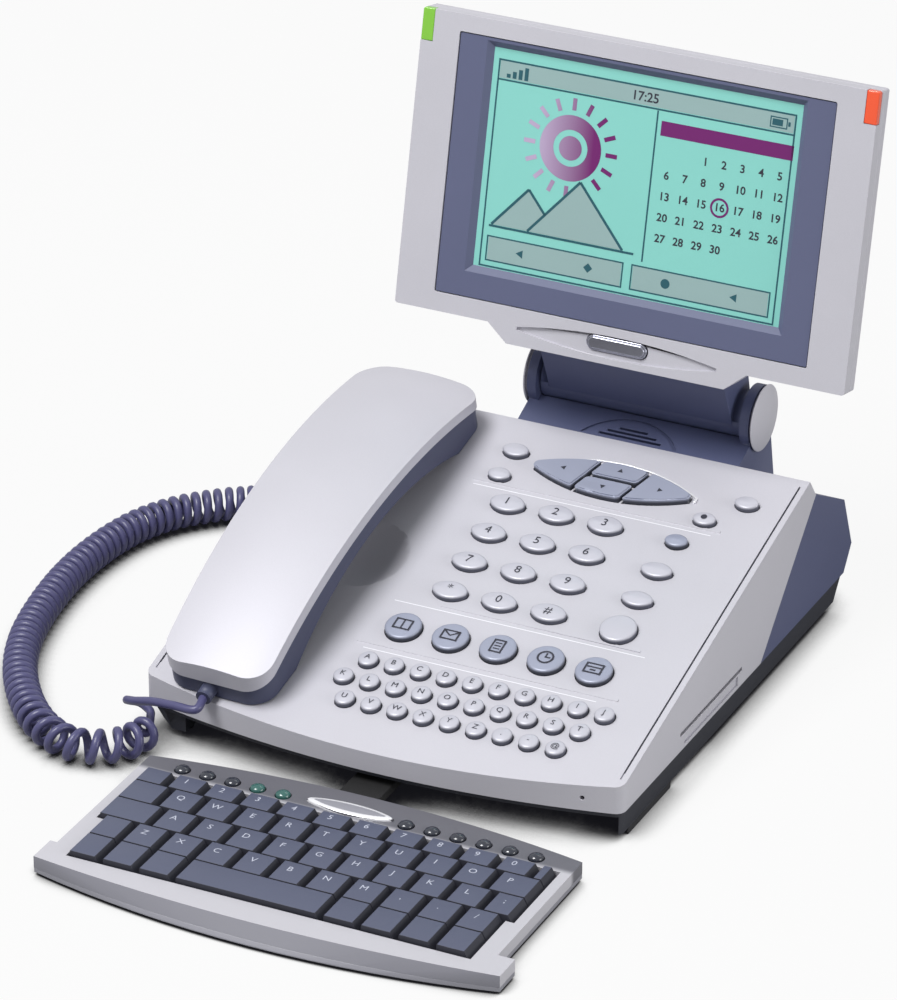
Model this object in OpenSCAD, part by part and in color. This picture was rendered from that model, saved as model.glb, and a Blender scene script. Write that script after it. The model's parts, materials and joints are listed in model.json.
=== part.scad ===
// Desk telephone with a tilting screen, a cradle handset on a curly cord and a pull-out keyboard.
// Millimetres, +Z up, front towards -Y. The origin is under the middle of the standing object.

/* [Base] */
// Width of the base over its sides
base_w = 207; // [200:1:230]
// Length of the key panel along its slope
panel_len = 186; // [184:1:205]
// Slope of the key panel in degrees
panel_slope = 15; // [10:0.5:18]
// Height of the panel's front corners above the table
panel_front = 25; // [24:0.5:32]
// How far the front lip bows forward in the middle
front_bow = 13; // [6:0.5:18]
// Radius of the base's front corners in plan
corner_r = 4.5; // [4:0.5:14]
// Height of the light shell's lower edge
lip_z = 13; // [12.5:0.5:15]
// Wall of the moulded housings
wall = 2.4; // [1.8:0.1:3]
// Height of the rubber feet
foot_h = 3; // [2:0.5:3.5]
// Where the light shell's lower edge starts to climb to the rear
skirt_y = 133; // [120:1:145]
// Drop of the shell's rear lip behind the panel
rear_lip_drop = 8.8; // [6:0.2:11]
// Reach of the shell's rear lip behind the panel
rear_lip_reach = 6.7; // [5:0.1:9]
// Height of the rear cover's upper back edge
rear_shoulder = 47.7; // [42:0.1:52]
// Length of the cover's roof behind the rear lip
rear_roof = 31; // [28:0.5:36]
// Length of the card slot in the right side
card_slot = 60; // [56:1:70]

/* [Keys] */
// Length of an oval dialling key
digit_w = 15; // [12:0.5:17]
// Depth of an oval dialling key
digit_d = 9.8; // [8:0.2:12]
// Spacing of the dialling keys across the panel
digit_px = 21.6; // [19:0.2:23]
// Spacing of the dialling keys along the panel
digit_pv = 18.3; // [15:0.1:19]
// Diameter of the round memory keys
memory_d = 15; // [12:0.5:17]
// Spacing of the memory keys
memory_p = 20.7; // [19:0.1:21.5]
// Diameter of the small letter keys
letter_d = 8; // [6:0.2:8.6]
// Spacing of the letter keys
letter_p = 11.34; // [10.8:0.02:11.6]
// Height of the key tops above the panel
key_rise = 3; // [2:0.1:4]
// Travel of a panel key
key_travel = 1.6; // [1:0.1:2]
// Running gap around a key
key_gap = 0.35; // [0.25:0.05:0.5]
// Length of the oval island of navigation keys
nav_w = 72; // [64:1:76]
// Depth of the oval island of navigation keys
nav_d = 23; // [20:0.5:24]

/* [Handset] */
// Length of the handset
handset_len = 189; // [180:1:195]
// Width of the handset at its ear end
handset_w = 55; // [52:1:58]
// Width of the handset at its mouth end
mouth_w = 47; // [45:1:52]
// How far the handset arches up between its ends
handset_arch = 16.5; // [14:0.5:18]
// Height of the seam between the shells at the ends, above the panel
handset_seam = 8; // [7.8:0.2:10]
// Height of the light back shell's crown above the seam
handset_crown = 8; // [7:0.1:10]
// Height of the back shell's side walls above the seam
handset_rim = 4.5; // [3:0.5:6]
// Thickness of the dark front shell in the middle
handset_belly = 8; // [6:0.5:9]
// Diameter of the receiver and microphone capsules
capsule_d = 30; // [26:1:32]

/* [Screen] */
// Width of the screen
screen_w = 198; // [190:1:205]
// Height of the screen without its chin
screen_h = 123; // [118:1:130]
// Thickness of the screen
screen_t = 11.5; // [10:0.5:15]
// Lean of the screen back from upright, in degrees
screen_lean = 12.8; // [8:0.2:16]
// Width of the dark mask
mask_w = 164; // [154:1:170]
// Height of the dark mask
mask_h = 108; // [104:1:110]
// Width of the display's visible area
lcd_w = 134; // [120:1:140]
// Height of the display's visible area
lcd_h = 90; // [80:1:92]
// Depth of the chin below the screen
chin_h = 7.5; // [6:0.5:10]

/* [Hinge] */
// Diameter of the hinge barrel
barrel_d = 20; // [18:0.5:23]
// Diameter of the hinge's ears
hinge_ear_d = 27; // [24:0.5:28]
// Length of the hinge barrel between its ears
barrel_l = 90; // [80:1:96]
// Diameter of the hinge shaft
shaft_d = 8; // [5:0.5:12]
// Thickness of a hinge ear
ear_t = 4; // [3:0.5:6]

/* [Keyboard] */
// Width of the keyboard without its front corners
keyboard_w = 186; // [180:1:186]
// Depth of the keyboard
keyboard_d = 86; // [84:1:88]
// How far the keyboard's front lip bows forward at its foot
lip_bow = 12; // [8:0.5:14]
// How far the lip's upper edge bows forward
lip_top_bow = 6.5; // [4:0.5:8]
// How far the keyboard's back edge bows backward
back_bow = 8.5; // [5:0.5:10]
// Height of the keyboard's case
keyboard_t = 8; // [7.6:0.1:8.4]
// Height of the key tops above the case
cap_rise = 2; // [1:0.1:2.2]
// Travel of a typing key
cap_travel = 1.8; // [1:0.1:2]
// How far the keyboard is pulled out from its bay
pull_out = 100; // [90:1:102]
// Width of the slide arm
arm_w = 17; // [14:0.5:24]

/* [Cord] */
// Diameter of the cord's wire
wire_d = 3.5; // [3:0.1:3.6]
// Outer diameter of the curls
curl_d = 14.5; // [12:0.5:15]
// Number of curls
curls = 60; // [40:1:62]

/* [Hidden] */
$fn = 64;

// Colours
silver = "#C4C3CA";
pale_key = "#D8D7DC";
grey_key = "#B4B7C4";
slate = "#5F6680";
dark = "#474C68";
pod_blue = "#40426A";
black = "#1C1C22";
rubber = "#2A2A2E";
steel = "#B9BCC0";
cord_blue = "#45446A";
board_green = "#2F6B3C";

// Base outline: side planes, the bowed front and the corners between them
side_x = base_w / 2;
bow_r = (side_x * side_x + front_bow * front_bow) / (2 * front_bow);
bow_y = bow_r - front_bow;
corner_y = bow_y - sqrt(pow(bow_r - corner_r, 2) - pow(side_x - corner_r, 2));
corner_a = atan2(corner_y - bow_y, side_x - corner_r);

// Side profile of the base, as (y, z) points
function panel_z(y) = panel_front + y * tan(panel_slope);
panel_end = [panel_len * cos(panel_slope), panel_front + panel_len * sin(panel_slope)];
rear_lip = panel_end + [rear_lip_reach, -rear_lip_drop];
shoulder = [rear_lip.x + rear_roof, rear_shoulder];
rear_heel = shoulder + [9.5, -24.3];
rear_foot = [rear_heel.x - 7.7, lip_z];
base_back = rear_heel.x;
lip_run = (rear_lip - panel_end) / norm(rear_lip - panel_end);

// Screen frame: its middle, and the hinge axis below and behind it
screen_x = 22.9;
screen_y = panel_end.x + 0.5;
screen_z = panel_end.y + 108.2;
hinge_y = shoulder.x - 15.9;
hinge_z = panel_end.y + 12.5;
barrel_gap = 0.4;
saddle_r = barrel_d / 2 + 0.5;
pod_w = barrel_l + 2 * (barrel_gap + ear_t);
ramp_top = [hinge_y - 8, panel_end.y + 5.8];
pod_back = [hinge_y + 10, hinge_z - 8];
cap_t = 3;
fit = 0.05;

// Handset frame, in panel coordinates: x across, v along the slope, h above the panel
handset_x = -68;
handset_turn = 1.36;
handset_v0 = -5;
handset_v = handset_v0 + handset_len / 2;
arch_r = (handset_len * handset_len / 4 + handset_arch * handset_arch) / (2 * handset_arch);
arch_h = handset_seam + handset_arch - arch_r;
arch_a = asin((handset_len / 2 + 4) / (arch_r - 40));
handset_r = 11;
seat_depth = 1.2;
seat_gap = 0.8;
pad_r = 8;
rest_gap = 0.3;
pad_w = mouth_w - 9;
pad_l = 18;
pad_end = 4.5;
pad_v = handset_len / 2 - pad_end - pad_l / 2;
pad_h0 = rest_gap - seat_depth;
shell_h0 = 0.5;
shell_in = 0.8;
collar_d = wire_d + 3;
collar_l = 5;
collar_h = (handset_seam + shell_h0) / 2;
hook_d = 6.4;

// Arched underside of the handset, from pad to pad, and the slant of the capsules in it
under_half = pad_v - pad_l / 2 - 3;
under_rise = handset_seam + handset_arch - handset_belly - shell_h0;
under_r = (under_half * under_half + under_rise * under_rise) / (2 * under_rise);
under_h = shell_h0 + under_rise - under_r;
capsule_a = asin((under_half - capsule_d / 2 - 4) / under_r);
capsule_t = 5.2;
capsule_drop = 0.8;

// Finger scoop in the panel beside the handset
scoop = [-52, 91];
scoop_r = 20;
scoop_depth = 5;
scoop_ball = (scoop_r * scoop_r + scoop_depth * scoop_depth) / (2 * scoop_depth);

// Panel keys: middle and half sizes of each, as [x, v, half width, half depth]
digit_0 = [-7.4, 135];
digits = [for (r = [0:3], c = [0:2])
    [digit_0.x + c * digit_px, digit_0.y - r * digit_pv, digit_w / 2, digit_d / 2]];
memories = [for (c = [0:4]) [-16 + c * memory_p, 55, memory_d / 2, memory_d / 2]];
functions = [[-18, 166, 5.6, 3.8], [-18.3, 150.5, 4.8, 3.5], [85, 164.5, 5, 3.6],
    [72.5, 150.5, 4.8, 3.6], [67, 135, 4.8, 3.6], [66.5, 116.5, 6.6, 4.2], [66, 98.5, 6.6, 4.2],
    [66, 80.2, 7.5, 7.5]];
letter_rows = [[-21.1, 33.4, 10], [-26.4, 21.9, 10], [-20.2, 10.3, 9]];
letters = [for (r = letter_rows, c = [0:r[2] - 1])
    [r[0] + c * letter_p, r[1], letter_d / 2, letter_d / 2]];
nav = [27.5, 160.3];
nav_split = [16.5, 38.5];
nav_slant = 0.35;
nav_gap = 1.6;
key_foot = 1;
key_foot_t = 1.2;
key_foot_h = -wall - key_gap - key_foot_t;
board_h = key_foot_h - key_travel - 1.6;
board_t = 1.6;
board_x = [-37, 89];
board_v = [5, 172];
posts = [[-34, 62], [-34, 122], [-34, 166], [86, 8], [86, 90], [86, 146]];

// Keyboard: bay under the base, case, and the key rows as [back y, front y, left x, gap xs, right x]
keyboard_x = 8;
bay_gap = 0.4;
bay_z = lip_z - 2;
bay_l = keyboard_x - keyboard_w / 2 - bay_gap;
bay_r = keyboard_x + keyboard_w / 2 + bay_gap;
rail_w = 6.1;
front_y = -18 - pull_out;
back_y = front_y + keyboard_d + 1;
bay_y = back_y + back_bow + pull_out + 2.5;
case_floor = 3;
case_foot = 1;
well_gap = 0.7;
cap_pitch = 15.6;
row_edge = [back_y - 11, back_y - 21.6, back_y - 36, back_y - 50.4, back_y - 65, back_y - 80.4];
well_side = 5;
key_l = keyboard_x - keyboard_w / 2 + well_side;
key_r = keyboard_x + keyboard_w / 2 - well_side;
low_l = key_l + 3.5;
low_r = key_r - 3.5;
row_lead = [13.6, 17.6, 22.4, 14, 14];
key_least = 4;
row_gaps = [for (i = [0:4])
    floor((row_r(i) - row_l(i) - row_lead[i] - key_least) / cap_pitch) + (i == 4 ? -2 : 1)];
space_l = low_l + row_lead[4] + 2 * cap_pitch;
space_r = space_l + 4 * cap_pitch;
strip_y = back_y - 4.9;
button_d = 6;
button_p = 11;
strip_side = 17;
strip_left = [for (i = [0:4]) keyboard_x - keyboard_w / 2 + strip_side + i * button_p];
strip_right = [for (i = [5:-1:0]) keyboard_x + keyboard_w / 2 - strip_side - i * button_p];
ear_reach = [3, 7];
ear_d = 13;
arm_x = 2;
arm_root = 8;
arm_t = 3.4;
arm_z = 4.5;
arm_end = bay_y + 14;
arm_gap = 0.3;

// Cord: its route over the table, as hand-chosen points from the base's left side to the handset
curl_r = (curl_d - wire_d) / 2;
lay_z = curl_d / 2 + 0.4;
socket = [-side_x, 197, 20];
socket_out = socket - [collar_l, 0, 0];
coil_route = [socket_out, socket_out - [10, 0, 1], [-134, 190, 12], [-146, 181, lay_z],
    [-160, 170, lay_z], [-174, 155, lay_z], [-183, 136, lay_z], [-187, 112, lay_z],
    [-187, 86, lay_z], [-183, 58, lay_z], [-176, 31, lay_z], [-165, 7, lay_z],
    [-150, -14, lay_z], [-134, -29, lay_z], [-118, -36, lay_z], [-106, -33, lay_z],
    [-97.5, -24, lay_z], [-96, -13, 8.2], [-99, -5, 8.6]];
collar_out = [handset_x - 4, handset_v0 - collar_l, collar_h];
lead_exit = [collar_out.x, collar_out.y * cos(panel_slope) - collar_out.z * sin(panel_slope),
    panel_front + collar_out.y * sin(panel_slope) + collar_out.z * cos(panel_slope)];
lead_dir = [0, -cos(panel_slope), -sin(panel_slope)];
lead_route = [[-99, -5, 8.6], [-101.5, -1, 8.8], [-107, 1, 10], [-110, -4, 13],
    [-104, -9, 16.5], [-94, -12.5, 20.5], [-83, -16, 23.3], lead_exit + lead_dir * 7, lead_exit];
wire_sides = 6;
curl_rings = 8;

// Middle of the whole standing object, without its cord
left_x = min(socket_out.x, keyboard_x - keyboard_w / 2 - ear_reach[0]);
right_x = max(side_x, screen_x + screen_w / 2);
middle = [(left_x + right_x) / 2, (front_y - lip_bow + base_back) / 2];

// Small helpers
function unit(v) = v / norm(v);
function left_of(v) = [-v.y, v.x];
function inset(p, t) = [for (i = [0:len(p) - 1])
    let (a = p[(i + len(p) - 1) % len(p)], b = p[i], c = p[(i + 1) % len(p)],
        m = left_of(unit(b - a)), n = left_of(unit(c - b)))
    b + (m + n) * t / (1 + m * n)];
// Points along an arc of n steps, without the first and last few if skip says so
function arc(c, r, a, b, n, skip = 0) = [for (i = [skip:n - skip])
    c + r * [cos(a + (b - a) * i / n), sin(a + (b - a) * i / n)]];
// Points of a shallow arc between two points, bulging to the right of the way by h
function bow(p, q, h, n) = let (m = (p + q) / 2, l = norm(q - p) / 2, d = unit(q - p),
    out = [d.y, -d.x], r = (l * l + h * h) / (2 * h), k = asin(l / r))
    [for (i = [0:n]) let (a = -k + 2 * k * i / n) m + out * (r * cos(a) - r + h) + d * r * sin(a)];
// Outline p with its corners rounded in n steps each
function round_corners(p, r, n) = let (c = inset(p, r)) [for (i = [0:len(p) - 1])
    let (b = p[i] - p[(i + len(p) - 1) % len(p)], d = p[(i + 1) % len(p)] - p[i],
        from = atan2(-b.x, b.y), turn = (atan2(-d.x, d.y) - from + 720) % 360)
    each arc(c[i], r, from, from + turn, n)];
function smooth(t) = let (u = max(0, min(1, t))) u * u * (3 - 2 * u);

module place() translate([-middle.x, -middle.y, 0]) children();

// A (y, z) outline drawn out along x
module across(x0, x1) translate([x0, 0, 0]) rotate([90, 0, 90]) linear_extrude(x1 - x0) children();

module over_base() across(-base_w, base_w) children();

module on_panel(x = 0, v = 0, h = 0)
    translate([0, 0, panel_front]) rotate([panel_slope, 0, 0]) translate([x, v, h]) children();

// Handset coordinates: v along it from its middle, h above the panel
module on_handset(v = 0, h = 0)
    on_panel(handset_x, handset_v, 0) rotate([0, 0, -handset_turn]) translate([0, v, h]) children();

// Screen coordinates: x across, y up the screen, z out of its face
module on_screen() translate([screen_x, screen_y, screen_z]) rotate([90 - screen_lean, 0, 0]) children();

module at_hinge(x = 0) translate([screen_x + x, hinge_y, hinge_z]) rotate([0, 90, 0]) children();

module rounded(w, d, r) {
    square([w - 2 * r, d], center = true);
    square([w, d - 2 * r], center = true);
    for (x = [-1, 1], y = [-1, 1]) translate([x * (w / 2 - r), y * (d / 2 - r)]) circle(r);
}

// Pointed oval whose tips are rounded off by its own circle
module oval(a, b) {
    tip = 1.07 * a;
    r = (tip * tip + b * b) / (2 * b);
    if (b < a) intersection() {
        circle(a);
        translate([0, r - b]) circle(r);
        translate([0, b - r]) circle(r);
    }
    else circle(a);
}

// Base outline from above, drawn in by t: straight sides, round front corners and the bow between them
module base_plan(t = 0) polygon(concat(
    [[side_x - t, base_back + 1], [-side_x + t, base_back + 1]],
    arc([corner_r - side_x, corner_y], corner_r - t, 180, 180 - corner_a, 8),
    arc([0, bow_y], bow_r - t, 180 - corner_a, 360 + corner_a, 24, 1),
    arc([side_x - corner_r, corner_y], corner_r - t, corner_a, 0, 8)));

module base_prism(t = 0) linear_extrude(200) base_plan(t);

shell_outline = [[-40, lip_z], [skirt_y, lip_z], rear_lip, panel_end, [-40, panel_z(-40)]];
shell_room = [[-40, -20], [240, -20], panel_end + lip_run * 100, panel_end, [-40, panel_z(-40)]];
cover_outline = [[skirt_y, lip_z], rear_foot, rear_heel, shoulder, rear_lip];
cover_room = [[60, -20], [rear_foot.x, -20], rear_foot, rear_heel, shoulder, rear_lip, [60, rear_lip.y]];
pod_outline = [rear_lip, shoulder, pod_back, [hinge_y, hinge_z], ramp_top, panel_end];
pod_room = [rear_lip + lip_run * 12, [shoulder.x, rear_lip.y - 30], pod_back, [hinge_y, hinge_z],
    ramp_top, panel_end];

module nav_oval(t = 0) translate(nav) oval(nav_w / 2 - t, nav_d / 2 - t);

// Which side of the slanted splits a navigation key takes: 0 left, 1 up, 2 down, 3 right
module nav_zone(i, t) {
    g = nav_gap / 2 - t;
    far = 60;
    function edge(k, v) = nav_split[k] + (v - nav.y) * nav_slant;
    lo = nav.y - far;
    hi = nav.y + far;
    if (i == 0) polygon([[edge(0, lo) - g, lo], [edge(0, hi) - g, hi], [-90, hi], [-90, lo]]);
    if (i == 3) polygon([[edge(1, lo) + g, lo], [120, lo], [120, hi], [edge(1, hi) + g, hi]]);
    if (i == 1) polygon([[edge(0, nav.y + g) + g, nav.y + g], [edge(1, nav.y + g) - g, nav.y + g],
        [edge(1, hi) - g, hi], [edge(0, hi) + g, hi]]);
    if (i == 2) polygon([[edge(0, lo) + g, lo], [edge(1, lo) - g, lo],
        [edge(1, nav.y - g) - g, nav.y - g], [edge(0, nav.y - g) + g, nav.y - g]]);
}

module nav_shape(i, t = 0) intersection() {
    nav_oval(nav_gap - t);
    nav_zone(i, t);
}

module key_holes() {
    for (k = concat(digits, memories, functions, letters))
        translate([k[0], k[1], -wall - 3]) linear_extrude(wall + 6) oval(k[2] + key_gap, k[3] + key_gap);
    for (i = [0:3]) translate([0, 0, -wall - 3]) linear_extrude(wall + 6) nav_shape(i, key_gap);
}

// A key cap with a softened top edge and a foot that stops it under the panel
module key(k) place() on_panel(k[0], k[1], 0) {
    translate([0, 0, key_foot_h]) linear_extrude(key_foot_t) oval(k[2] + key_foot, k[3] + key_foot);
    translate([0, 0, key_foot_h]) linear_extrude(key_rise - 0.7 - key_foot_h) oval(k[2], k[3]);
    translate([0, 0, key_foot_h]) linear_extrude(key_rise - key_foot_h) oval(k[2] - 0.7, k[3] - 0.7);
}

module base_top_shell() color(silver) place() {
    difference() {
        union() {
            difference() {
                intersection() {
                    base_prism();
                    over_base() polygon(shell_outline);
                }
                intersection() {
                    base_prism(wall);
                    over_base() polygon(inset(shell_room, wall));
                }
            }
            // Bowl of the finger scoop, screw bosses and board posts under the panel
            on_panel(scoop.x, scoop.y, -scoop_depth - wall)
                cylinder(r = scoop_r + wall, h = scoop_depth + wall - 0.5);
            intersection() {
                over_base() polygon(shell_outline);
                for (s = [-1, 1]) translate([s * boss_x, boss_y, lip_z]) cylinder(d = 8, h = 60);
            }
            for (p = posts) on_panel(p.x, p.y, board_h) cylinder(d = 5, h = -board_h - 0.5);
            // Low ridges between the key groups
            for (r = [[-28, 146.4, 109], [-8, 72.2, 87], [-31, 43.6, 113]])
                on_panel(r[0], r[1] - 0.6, -0.5) cube([r[2], 1.2, 0.9]);
        }
        on_panel() key_holes();
        on_panel(scoop.x, scoop.y, scoop_ball - scoop_depth) rotate([0, 90, 0])
            sphere(scoop_ball, $fn = 180);
        // Seats of the handset's two ends, and the hole of the hook plunger
        for (s = [-1, 1]) on_handset(s * pad_v, -seat_depth) linear_extrude(8)
            rounded(pad_w + 2 * seat_gap, pad_l + 2 * seat_gap, pad_r + seat_gap);
        on_handset(pad_v, -wall - 1) cylinder(d = hook_d + 2 * key_gap, h = wall + 2);
        // Seam grooves along both sides, microphone hole, card slot with its thumb recess
        for (s = [-1, 1]) on_panel(s * (side_x - 2.8) - 0.4, 4, -0.7) cube([0.8, panel_len - 8, 3]);
        translate([88, -20, 18.5]) rotate([-90, 0, 0]) cylinder(d = 2, h = 25);
        translate([side_x - wall - 1, 54, lip_z + 6.5]) cube([wall + 2, card_slot, 1.7]);
        translate([side_x - 0.8, 58, lip_z + 1.6]) cube([2, card_slot - 8, 4]);
        for (s = [-1, 1]) translate([s * boss_x, boss_y, lip_z - 1]) cylinder(d = screw_d, h = 12);
    }
}

boss_x = side_x - 10;
boss_y = bay_y + 24;
rear_boss_x = side_x - 12;
rear_boss_y = rear_foot.x - 14;
screw_d = 3;
screw_head = 6;
screw_sink = 3.6;
tray_floor = arm_z + arm_t + arm_gap + 1.4;
screw_places = [for (s = [-1, 1]) each [[s * boss_x, boss_y], [s * rear_boss_x, rear_boss_y]]];

module base_tray() color(dark) place() difference() {
    intersection() {
        translate([0, 0, foot_h]) linear_extrude(lip_z - foot_h) difference() {
            base_plan(1);
            translate([-150, rear_foot.x - 1]) square([300, 60]);
        }
        // The back slopes under, and the left side leans in
        over_base() polygon([[-40, 0], [rear_foot.x - 8, foot_h], [rear_foot.x, lip_z], [-40, lip_z]]);
        translate([0, 300, 0]) rotate([90, 0, 0]) linear_extrude(400)
            polygon([[min(-side_x + 12, bay_l - rail_w), foot_h], [base_w, foot_h], [base_w, lip_z],
                [-side_x + 3, lip_z]]);
    }
    translate([bay_l, -40, 0]) cube([bay_r - bay_l, 40 + bay_y, bay_z]);
    translate([-side_x - 1, -40, 0]) cube([base_w + 2, 39, bay_z]);
    translate([arm_x - arm_w / 2 - arm_gap, bay_y - 1, arm_z - arm_gap])
        cube([arm_w + 2 * arm_gap, arm_end + pull_out - bay_y + 4, arm_t + 2 * arm_gap]);
    // Room over the floor behind the bay, left standing around the screws
    difference() {
        translate([-side_x + 14, bay_y + 4, tray_floor])
            cube([base_w - 24, rear_foot.x - bay_y - 8, 20]);
        for (p = screw_places) translate([p.x, p.y, 0]) cylinder(d = 9, h = 30);
    }
    for (p = screw_places) translate([p.x, p.y, 0]) {
        cylinder(d = screw_d + 0.4, h = 30);
        cylinder(d = screw_head + 0.4, h = foot_h + screw_sink);
    }
}

module rear_cover() color(pod_blue) place() difference() {
    union() {
        difference() {
            union() {
                intersection() {
                    base_prism();
                    over_base() polygon(cover_outline);
                }
                across(screen_x - pod_w / 2, screen_x + pod_w / 2) polygon(pod_outline);
            }
            difference() {
                union() {
                    intersection() {
                        base_prism(wall);
                        over_base() polygon(inset(cover_room, wall));
                    }
                    across(screen_x - pod_w / 2 + wall, screen_x + pod_w / 2 - wall)
                        polygon(inset(pod_room, wall));
                }
                at_hinge(-pod_w / 2) cylinder(r = saddle_r + wall, h = pod_w);
            }
            at_hinge(-barrel_l / 2 - barrel_gap) cylinder(r = saddle_r, h = barrel_l + 2 * barrel_gap);
        }
        // Ears of the hinge
        for (s = [-1, 1]) at_hinge(s * (barrel_l / 2 + barrel_gap + ear_t / 2))
            cylinder(d = hinge_ear_d, h = ear_t, center = true);
        // Screw bosses, socket box and the cord's collar
        intersection() {
            over_base() polygon(cover_outline);
            for (s = [-1, 1]) translate([s * rear_boss_x, rear_boss_y, lip_z]) cylinder(d = 8, h = 60);
        }
        intersection() {
            over_base() polygon(cover_outline);
            translate([line_x - 9, rear_heel.x - 26, line_z - 7]) cube([18, 30, 14]);
        }
        translate(socket + [wall, 0, 0]) rotate([0, -90, 0]) cylinder(d = collar_d, h = collar_l + wall);
    }
    at_hinge(-pod_w / 2 - 1) cylinder(d = shaft_d + fit, h = pod_w + 2);
    translate([line_x - 5.9, rear_heel.x - 16, line_z - 4.4]) cube([11.8, 40, 8.8]);
    for (s = [-1, 1]) translate([s * rear_boss_x, rear_boss_y, lip_z - 1]) cylinder(d = screw_d, h = 12);
    grille();
}

// Line socket in the back
line_x = -60;
line_z = rear_heel.y + 10;

// Round speaker grille on the pod's ramp, cut off by the panel's back edge
grille_r = 26;
grille_ring = 1.4;
ramp_a = atan2(ramp_top.y - panel_end.y, ramp_top.x - panel_end.x);
ramp_l = norm(ramp_top - panel_end);
grille_mid = ramp_l - 2.6 - grille_r;

module grille() translate([screen_x, panel_end.x, panel_end.y]) rotate([ramp_a, 0, 0]) {
    intersection() {
        translate([0, grille_mid, -0.8]) difference() {
            cylinder(r = grille_r, h = 4);
            translate([0, 0, -1]) cylinder(r = grille_r - grille_ring, h = 6);
        }
        translate([-60, 0.8, -2]) cube([120, 40, 9]);
    }
    for (s = [2.2:2.1:ramp_l - 4]) {
        half = sqrt(pow(grille_r - 5, 2) - pow(s - grille_mid, 2));
        if (half > 4) translate([-half, s - 0.6, -wall - 3]) cube([2 * half, 1.2, wall + 8]);
    }
}

// Feet as [x, y, diameter]. The front ones stand on the rails beside the bay, or behind it
// where a rail is too thin to carry one.
rail_foot = 4;
strip_foot = [1, 40];
left_foot = side_x - 1 + bay_l > rail_foot + 1 ? [bay_l - 3.6, 8] : [-side_x + 18, bay_y + 10];
right_foot = side_x - 1 - bay_r > strip_foot.x ? [bay_r + 0.05, 8] : [side_x - 4, bay_y + 20];
feet = [[left_foot.x, left_foot.y, rail_foot], [side_x - 32, rear_boss_y, 12],
    [-side_x + 32, rear_boss_y, 12], [side_x - 14, bay_y + 10, 12]];

module base_feet() color(rubber) place() {
    for (f = feet) translate([f[0], f[1], 0]) cylinder(d = f[2], h = foot_h);
    translate([right_foot.x, right_foot.y, 0]) cube([strip_foot.x, strip_foot.y, foot_h]);
}

module base_screws() color(steel) place() for (p = screw_places) translate([p.x, p.y, 0]) {
    translate([0, 0, foot_h + 1]) difference() {
        cylinder(d = screw_head, h = screw_sink - 1);
        for (a = [0, 90]) rotate(a) translate([-2, -0.5, -1]) cube([4, 1, 2]);
    }
    translate([0, 0, foot_h + screw_sink])
        cylinder(d = screw_d - fit, h = lip_z + 9 - foot_h - screw_sink);
}

module main_board() color(board_green) place() difference() {
    on_panel(board_x[0], board_v[0], board_h - board_t)
        cube([board_x[1] - board_x[0], board_v[1] - board_v[0], board_t]);
    translate([boss_x, boss_y, 0]) cylinder(d = 10, h = 90);
    on_panel(scoop.x, scoop.y, board_h - 10) cylinder(r = scoop_r + wall + 1, h = 20);
}

speaker_d = 48;

module loudspeaker() color(black) place() translate([screen_x, rear_foot.x - 48, tray_floor])
    rotate_extrude() polygon([[0, 0], [14, 0], [14, 6], [speaker_d / 2, 11], [speaker_d / 2, 13],
        [speaker_d / 2 - 3, 13], [12, 8], [0, 9.5]]);

module nav_trim() color("#E8E8EC") place() on_panel() linear_extrude(1) difference() {
    nav_oval(-1.1);
    nav_oval(0);
    translate([nav.x - nav_w, nav.y - nav_d - 1]) square([2 * nav_w, nav_d]);
    translate([nav.x - nav_w, nav.y - nav_d]) square([nav_w - 16, 2 * nav_d]);
}

// Handset: sections swept along an arch over the panel
module arch_sweep() on_handset(0, arch_h) rotate([0, -90, 0]) rotate([0, 0, -arch_a])
    rotate_extrude(angle = 2 * arch_a, $fn = 128) children();

handset_outline = [[-mouth_w / 2, -handset_len / 2], [mouth_w / 2, -handset_len / 2],
    [handset_w / 2, handset_len / 2], [-handset_w / 2, handset_len / 2]];

module handset_plan(t = 0) on_handset(0, -10) linear_extrude(80)
    polygon(round_corners(inset(handset_outline, t), handset_r - t, 10));

crown_up = handset_crown - handset_rim;
crown_r = (handset_w * handset_w / 4 + crown_up * crown_up) / (2 * crown_up);

module handset_back_shell() color(silver) place() intersection() {
    handset_plan();
    arch_sweep() intersection() {
        translate([arch_r, -handset_w]) square([handset_crown, 2 * handset_w]);
        translate([arch_r + handset_crown - crown_r, 0]) circle(crown_r);
    }
}

// A place on the arched underside: s is -1 for the mouth end and 1 for the ear end
module at_capsule(s) on_handset(0, under_h) rotate([-s * capsule_a, 0, 0]) translate([0, 0, under_r])
    children();

module handset_front_shell() color(dark) place() difference() {
    union() {
        intersection() {
            handset_plan(shell_in);
            on_handset(0, shell_h0) translate([-handset_w, -handset_len, 0])
                cube([2 * handset_w, 2 * handset_len, 60]);
            arch_sweep() translate([arch_r - 70, -handset_w]) square([70, 2 * handset_w]);
        }
        for (s = [-1, 1]) on_handset(s * pad_v, pad_h0) linear_extrude(shell_h0 - pad_h0 + 1)
            rounded(pad_w, pad_l, pad_r);
        on_panel(collar_out.x, collar_out.y, collar_out.z) rotate([-90, 0, 0])
            cylinder(d = collar_d, h = collar_l + 7);
    }
    on_handset(0, under_h) rotate([0, 90, 0])
        cylinder(r = under_r, h = 4 * handset_w, center = true, $fn = 180);
    for (s = [-1, 1]) at_capsule(s) translate([0, 0, -5])
        cylinder(d = capsule_d, h = 5 + capsule_drop + capsule_t);
}

// A sound capsule with its rings of holes, let into a handset end
module capsule(s, rings) place() at_capsule(s) translate([0, 0, capsule_drop]) difference() {
    cylinder(d = capsule_d - 2 * fit, h = capsule_t - fit);
    for (r = [0:rings], i = [0:max(0, r * 6 - 1)]) rotate(i * 60 / max(1, r)) translate([r * 4, 0, -1])
        cylinder(d = 1.6, h = 3);
}

module receiver_capsule() color(black) capsule(1, 2);

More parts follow.
